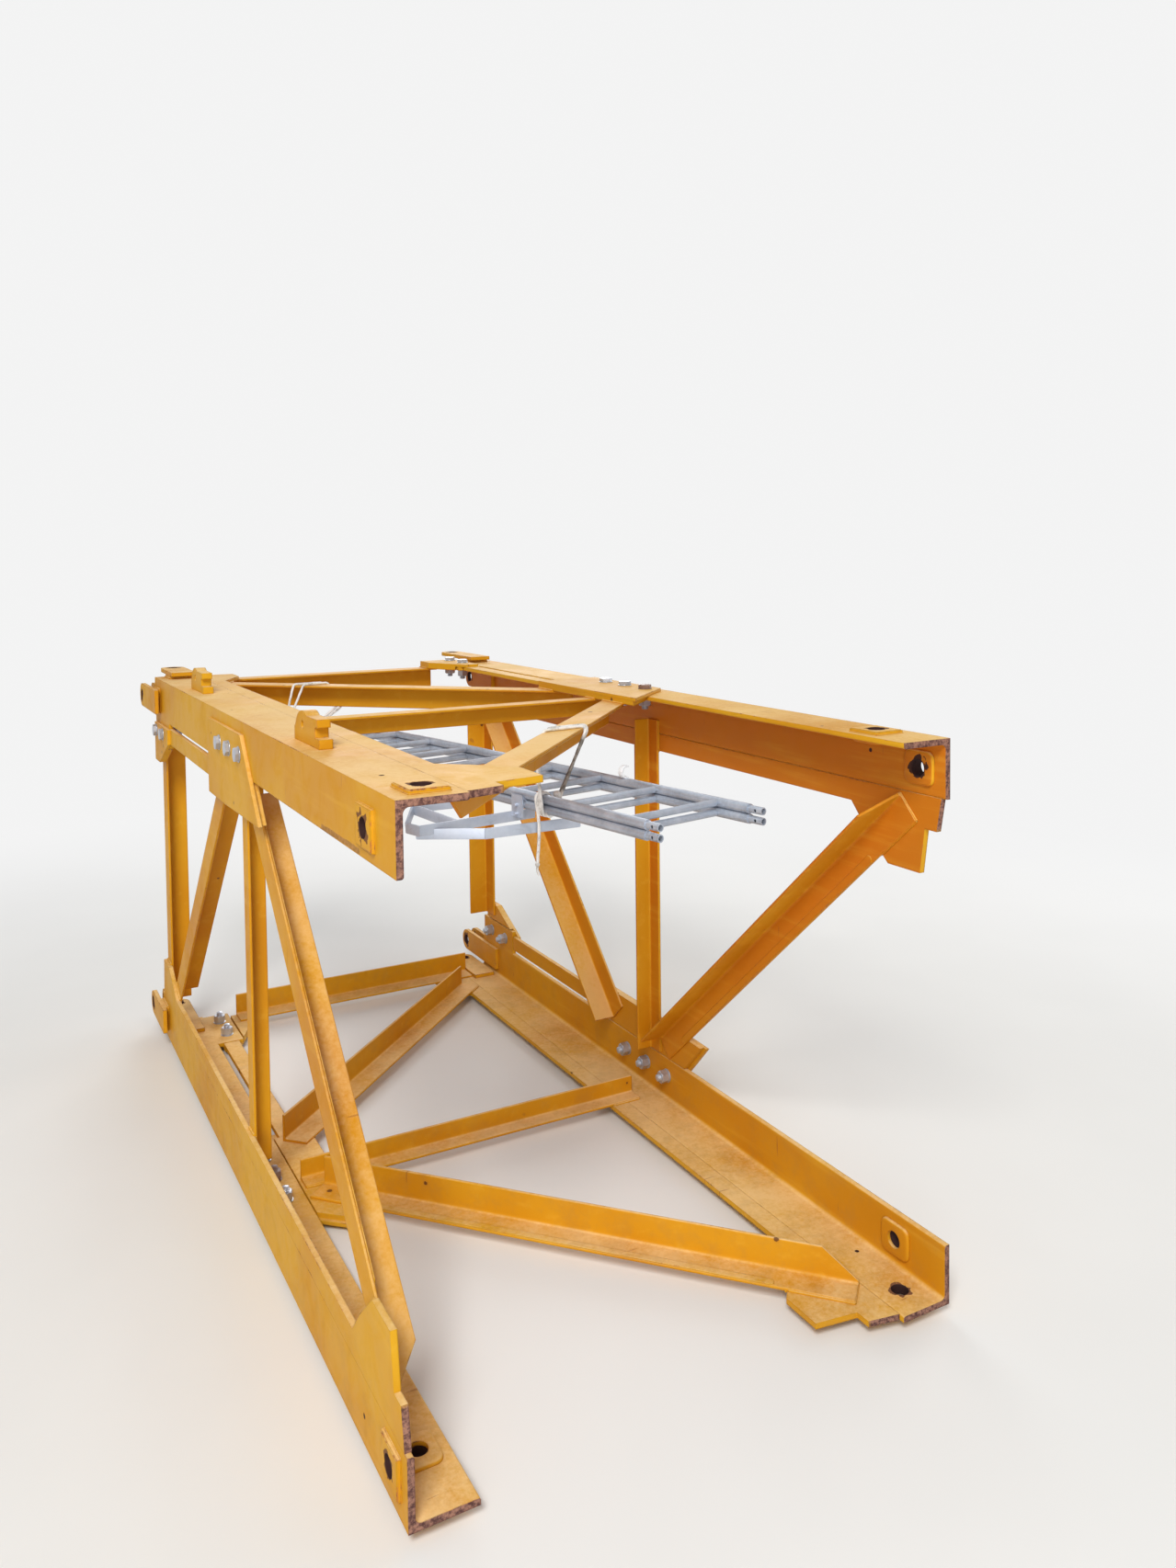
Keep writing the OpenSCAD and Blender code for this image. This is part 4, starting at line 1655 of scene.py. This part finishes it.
@dataclass
class Studio:
    """The floor, the lamps, the plain background and the camera.

    Attributes:
        eye: Where the camera stands.
        yaw: Its turn from the section's axis towards +X, in degrees.
        pitch: Its look upwards, in degrees.
        roll: Its roll, in degrees.
        lens: Focal length on a 36 mm long side.
        shift: How far the frame is shifted along its height.
        backdrop: How bright the plain background looks, 1 is white.
        ambient: How strongly the background lights the section.
        lamps: The softboxes.
    """

    eye: Point = (-1.5145, -3.8096, 1.9945)
    yaw: float = 28.711
    pitch: float = -2.454
    roll: float = -0.648
    lens: float = 26.95
    shift: float = -0.110
    backdrop: float = 0.90
    ambient: float = 0.30
    lamps: tuple[Softbox, ...] = (
        Softbox(Light.KEY, (-5.4, -7.6, 9.0), (0.0, -0.3, 0.7), 4.0, 1120.0, (1.0, 0.99, 0.96)),
        Softbox(Light.FILL, (-4.2, -7.6, 2.0), (0.0, -0.2, 0.8), 3.5, 150.0),
        Softbox(Light.RIM, (3.0, 7.0, 3.6), (0.0, 0.4, 0.9), 4.0, 210.0),
        Softbox(Light.SIDE, (7.0, 0.5, 3.0), (0.0, 0.0, 0.8), 4.0, 120.0))

    def camera(self) -> None:
        """Sets up the camera."""
        data = bpy.data.cameras.new("camera")
        data.sensor_width = 36.0
        data.sensor_fit = "AUTO"
        data.lens = self.lens
        data.shift_y = self.shift
        data.dof.use_dof = False
        data.clip_end = 200.0
        place = Matrix.Translation(self.eye)
        for degrees, axis in ((-self.yaw, "Z"), (90 + self.pitch, "X"), (self.roll, "Z")):
            place = place @ Matrix.Rotation(math.radians(degrees), 4, axis)
        bpy.context.scene.camera = put(data, place)

    def floor(self) -> None:
        """Lays the pale floor, which fades into the background far from the section."""
        radius, rim, sunk = 40.0, 30.0, 0.0008
        floor = Bench.start("circle", vertices=96, radius=radius, fill_type="NGON", location=(0, 0, 0))
        floor.name = "studio_floor"
        Bench.pick(floor, Element.FACE, lambda centre, normal: True)
        bpy.ops.mesh.inset(thickness=rim)
        Bench.done()
        floor.location.z = -sunk
        material, sheet, coords = ShaderSheet.blank("studio_floor")
        shade = sheet.ramp(sheet.noise(coords, 0.8, 3.0, 0.5), 0.3, 0.7)
        tone = sheet.blend(shade, (0.80, 0.80, 0.79, 1), (0.83, 0.83, 0.82, 1))
        ground = sheet.add("ShaderNodeBsdfPrincipled", {"Base Color": tone, "Roughness": 0.9})
        rays = sheet.add("ShaderNodeLightPath").outputs
        seen = sheet.math("ADD", rays["Is Camera Ray"], rays["Is Glossy Ray"], clamp=True)
        away = sheet.times(seen, sheet.ramp(sheet.vector("LENGTH", coords), 2.2, 6.0))
        glow = sheet.add("ShaderNodeEmission", {"Color": WHITE, "Strength": self.backdrop})
        mixed = sheet.add("ShaderNodeMixShader", {0: away, 1: ground.outputs[0], 2: glow.outputs[0]})
        sheet.add("ShaderNodeOutputMaterial", {"Surface": mixed.outputs[0]})
        floor.data.materials.append(material)

    def world(self) -> None:
        """Makes the plain background, seen white and lighting softly."""
        world = bpy.data.worlds.new("studio")
        bpy.context.scene.world = world
        world.use_nodes = True
        sheet = ShaderSheet(world.node_tree)
        rays = sheet.add("ShaderNodeLightPath").outputs
        seen = sheet.math("ADD", rays["Is Camera Ray"], rays["Is Glossy Ray"])
        seen = sheet.math("ADD", seen, rays["Is Transmission Ray"], clamp=True)
        span = sheet.add("ShaderNodeMapRange", {"Value": seen, "To Min": self.ambient, "To Max": self.backdrop})
        glow = sheet.add("ShaderNodeBackground", {"Color": WHITE, "Strength": span.outputs["Result"]})
        sheet.add("ShaderNodeOutputWorld", {"Surface": glow.outputs[0]})

    def build(self) -> None:
        """Sets up the whole studio."""
        bpy.context.scene.view_settings.view_transform = "Standard"
        self.camera()
        self.floor()
        for lamp in self.lamps:
            lamp.hang()
        self.world()
        LOG.info("studio ready")


@dataclass
class PaintShop:
    """Gives every CAD node its finish.

    Attributes:
        nodes: The CAD nodes by name.
        paints: The material put on each node.
    """

    nodes: dict[str, Object]
    paints: dict[str, Material] = field(default_factory=dict)

    def pins(self, side: Side, beyond: float, rings: tuple[float, float]) -> tuple[Bore, ...]:
        """Gives a leg's two pin bores at one end, on its welded and on its bolted flange.

        Args:
            side: The side whose welded leg it is.
            beyond: How far past the near end they lie.
            rings: How far the paint is chipped round each.

        Returns:
            The bores.
        """
        own, before = SIZE.on_side(side), SIZE.on_side(Side((side.value - 1) % 4))
        return (Bore.on(own, (SIZE.pin_gauge, beyond + SIZE.own_pin, 0.0), rings[0]),
                Bore.on(before, (SIZE.width - SIZE.pin_gauge, beyond + SIZE.before_pin, 0.0), rings[1]))

    def leg_bores(self, side: Side) -> tuple[Bore, ...]:
        """Gives a leg's near pin bores, its drain hole and the greased pad's bore.

        Args:
            side: The side whose welded leg it is.

        Returns:
            The bores.
        """
        own = SIZE.on_side(side)
        rings = {Side.TOP: (0.011, 0.024), Side.RIGHT: (0.016, 0.012)}.get(side, (0.011, 0.013))
        bores = self.pins(side, 0.0, rings) + (Bore.on(own, (0.068, 0.280, 0.0), 0.0015, 0.0050),)
        if side is Side.RIGHT:
            bores += (Bore.on(own, (SIZE.pin_gauge, SIZE.own_pin, -0.052), 0.017, 0.024, srgb(58, 38, 34)),)
        return bores

    def dress(self, name: str, material: Material) -> None:
        """Puts a material on a CAD node.

        Args:
            name: The node.
            material: Its material.
        """
        node = self.nodes[name]
        self.paints[name] = material
        if not node.material_slots:
            node.data.materials.append(material)
        for slot in node.material_slots:
            slot.material = material
        LOG.info("%s: %s", name, material.name)

    def build(self) -> Material:
        """Paints everything but the ladders and the ropes.

        Returns:
            The paint of the small welded parts.
        """
        scrape = Scrape((-0.75, -1.375, 1.377), (-0.75, -1.095, 1.375), 0.007)
        for side, corner in zip(Side, ("tl", "tr", "br", "bl")):
            leg = WornPaint(f"leg_paint_{corner}", wear=0.42, bores=self.leg_bores(side), cut_end=True,
                            scrapes=(scrape,) if side is Side.TOP else ())
            self.dress(f"leg_{corner}", leg.make())
            ears = WornPaint(f"fishplate_paint_{corner}", wear=0.60, specks=0.08,
                             bores=self.pins(side, SIZE.length, (0.016, 0.016)))
            self.dress(f"fishplates_{corner}", ears.make())
        plates = WornPaint("gusset_paint", wear=0.38, cut_end=True).make()
        bracing = WornPaint("bracing_paint", paint=srgb(214, 154, 28), shade=srgb(200, 132, 17),
                            wear=0.22, specks=0.03, dust=0.68).make()
        small = WornPaint("fitting_paint", wear=0.36, specks=0.03).make()
        members = {"bolt_plate": plates, "weld_plate": plates, "strut": bracing, "diag_near": bracing,
                   "diag_far": bracing, "post": bracing}
        for side in Side:
            for member, paint in members.items():
                self.dress(f"{member}_{side.name.lower()}", paint)
        self.dress("step_near", small)
        self.dress("step_far", small)
        return small


def main() -> None:
    """Builds and dresses the section in order."""
    logging.basicConfig(level=logging.INFO, format="%(name)s: %(message)s")
    Studio().build()
    rope = LaidRope("lashing_rope").make()
    LashingRope("lashing_near", rope, brace_x=0.0288, brace_slope=0.899, heel_right=False,
                rail_x=-0.0608, along=0.775, half=0.0605).build()
    LashingRope("lashing_far", rope, brace_x=-0.2245, brace_slope=-1.024, heel_right=True,
                rail_x=-0.3628, along=2.437, half=0.0643).build()
    shop = PaintShop(frame["nodes"])
    small = shop.build()
    zinc = HotDipZinc("ladder_zinc").make()
    shop.dress("ladder_upper", zinc)
    shop.dress("ladder_lower", zinc)
    plated = HotDipZinc("bolt_zinc", tint=srgb(172, 176, 186), rust=0.1, polish=0.14).make()
    rusty = HotDipZinc("rusted_bolt", tint=srgb(104, 62, 48), rust=1.8).make()
    beads = WeldBeads(small)
    for side in Side:
        GussetBolts(side, plated, rusty).build()
        SideWelds(side, beads).build()
    Bench.drop(beads.ripple)
    InnerPads(small, shop.paints["leg_tr"]).build()
    ToeStrips(small).build()
    LadderFittings(HotDipZinc("bracket_zinc", tint=srgb(186, 194, 208)).make(),
                   LaidRope("white_clip", clean=srgb(238, 242, 246), dirt=0.15).make()).build()


if __name__ == "__main__":
    main()
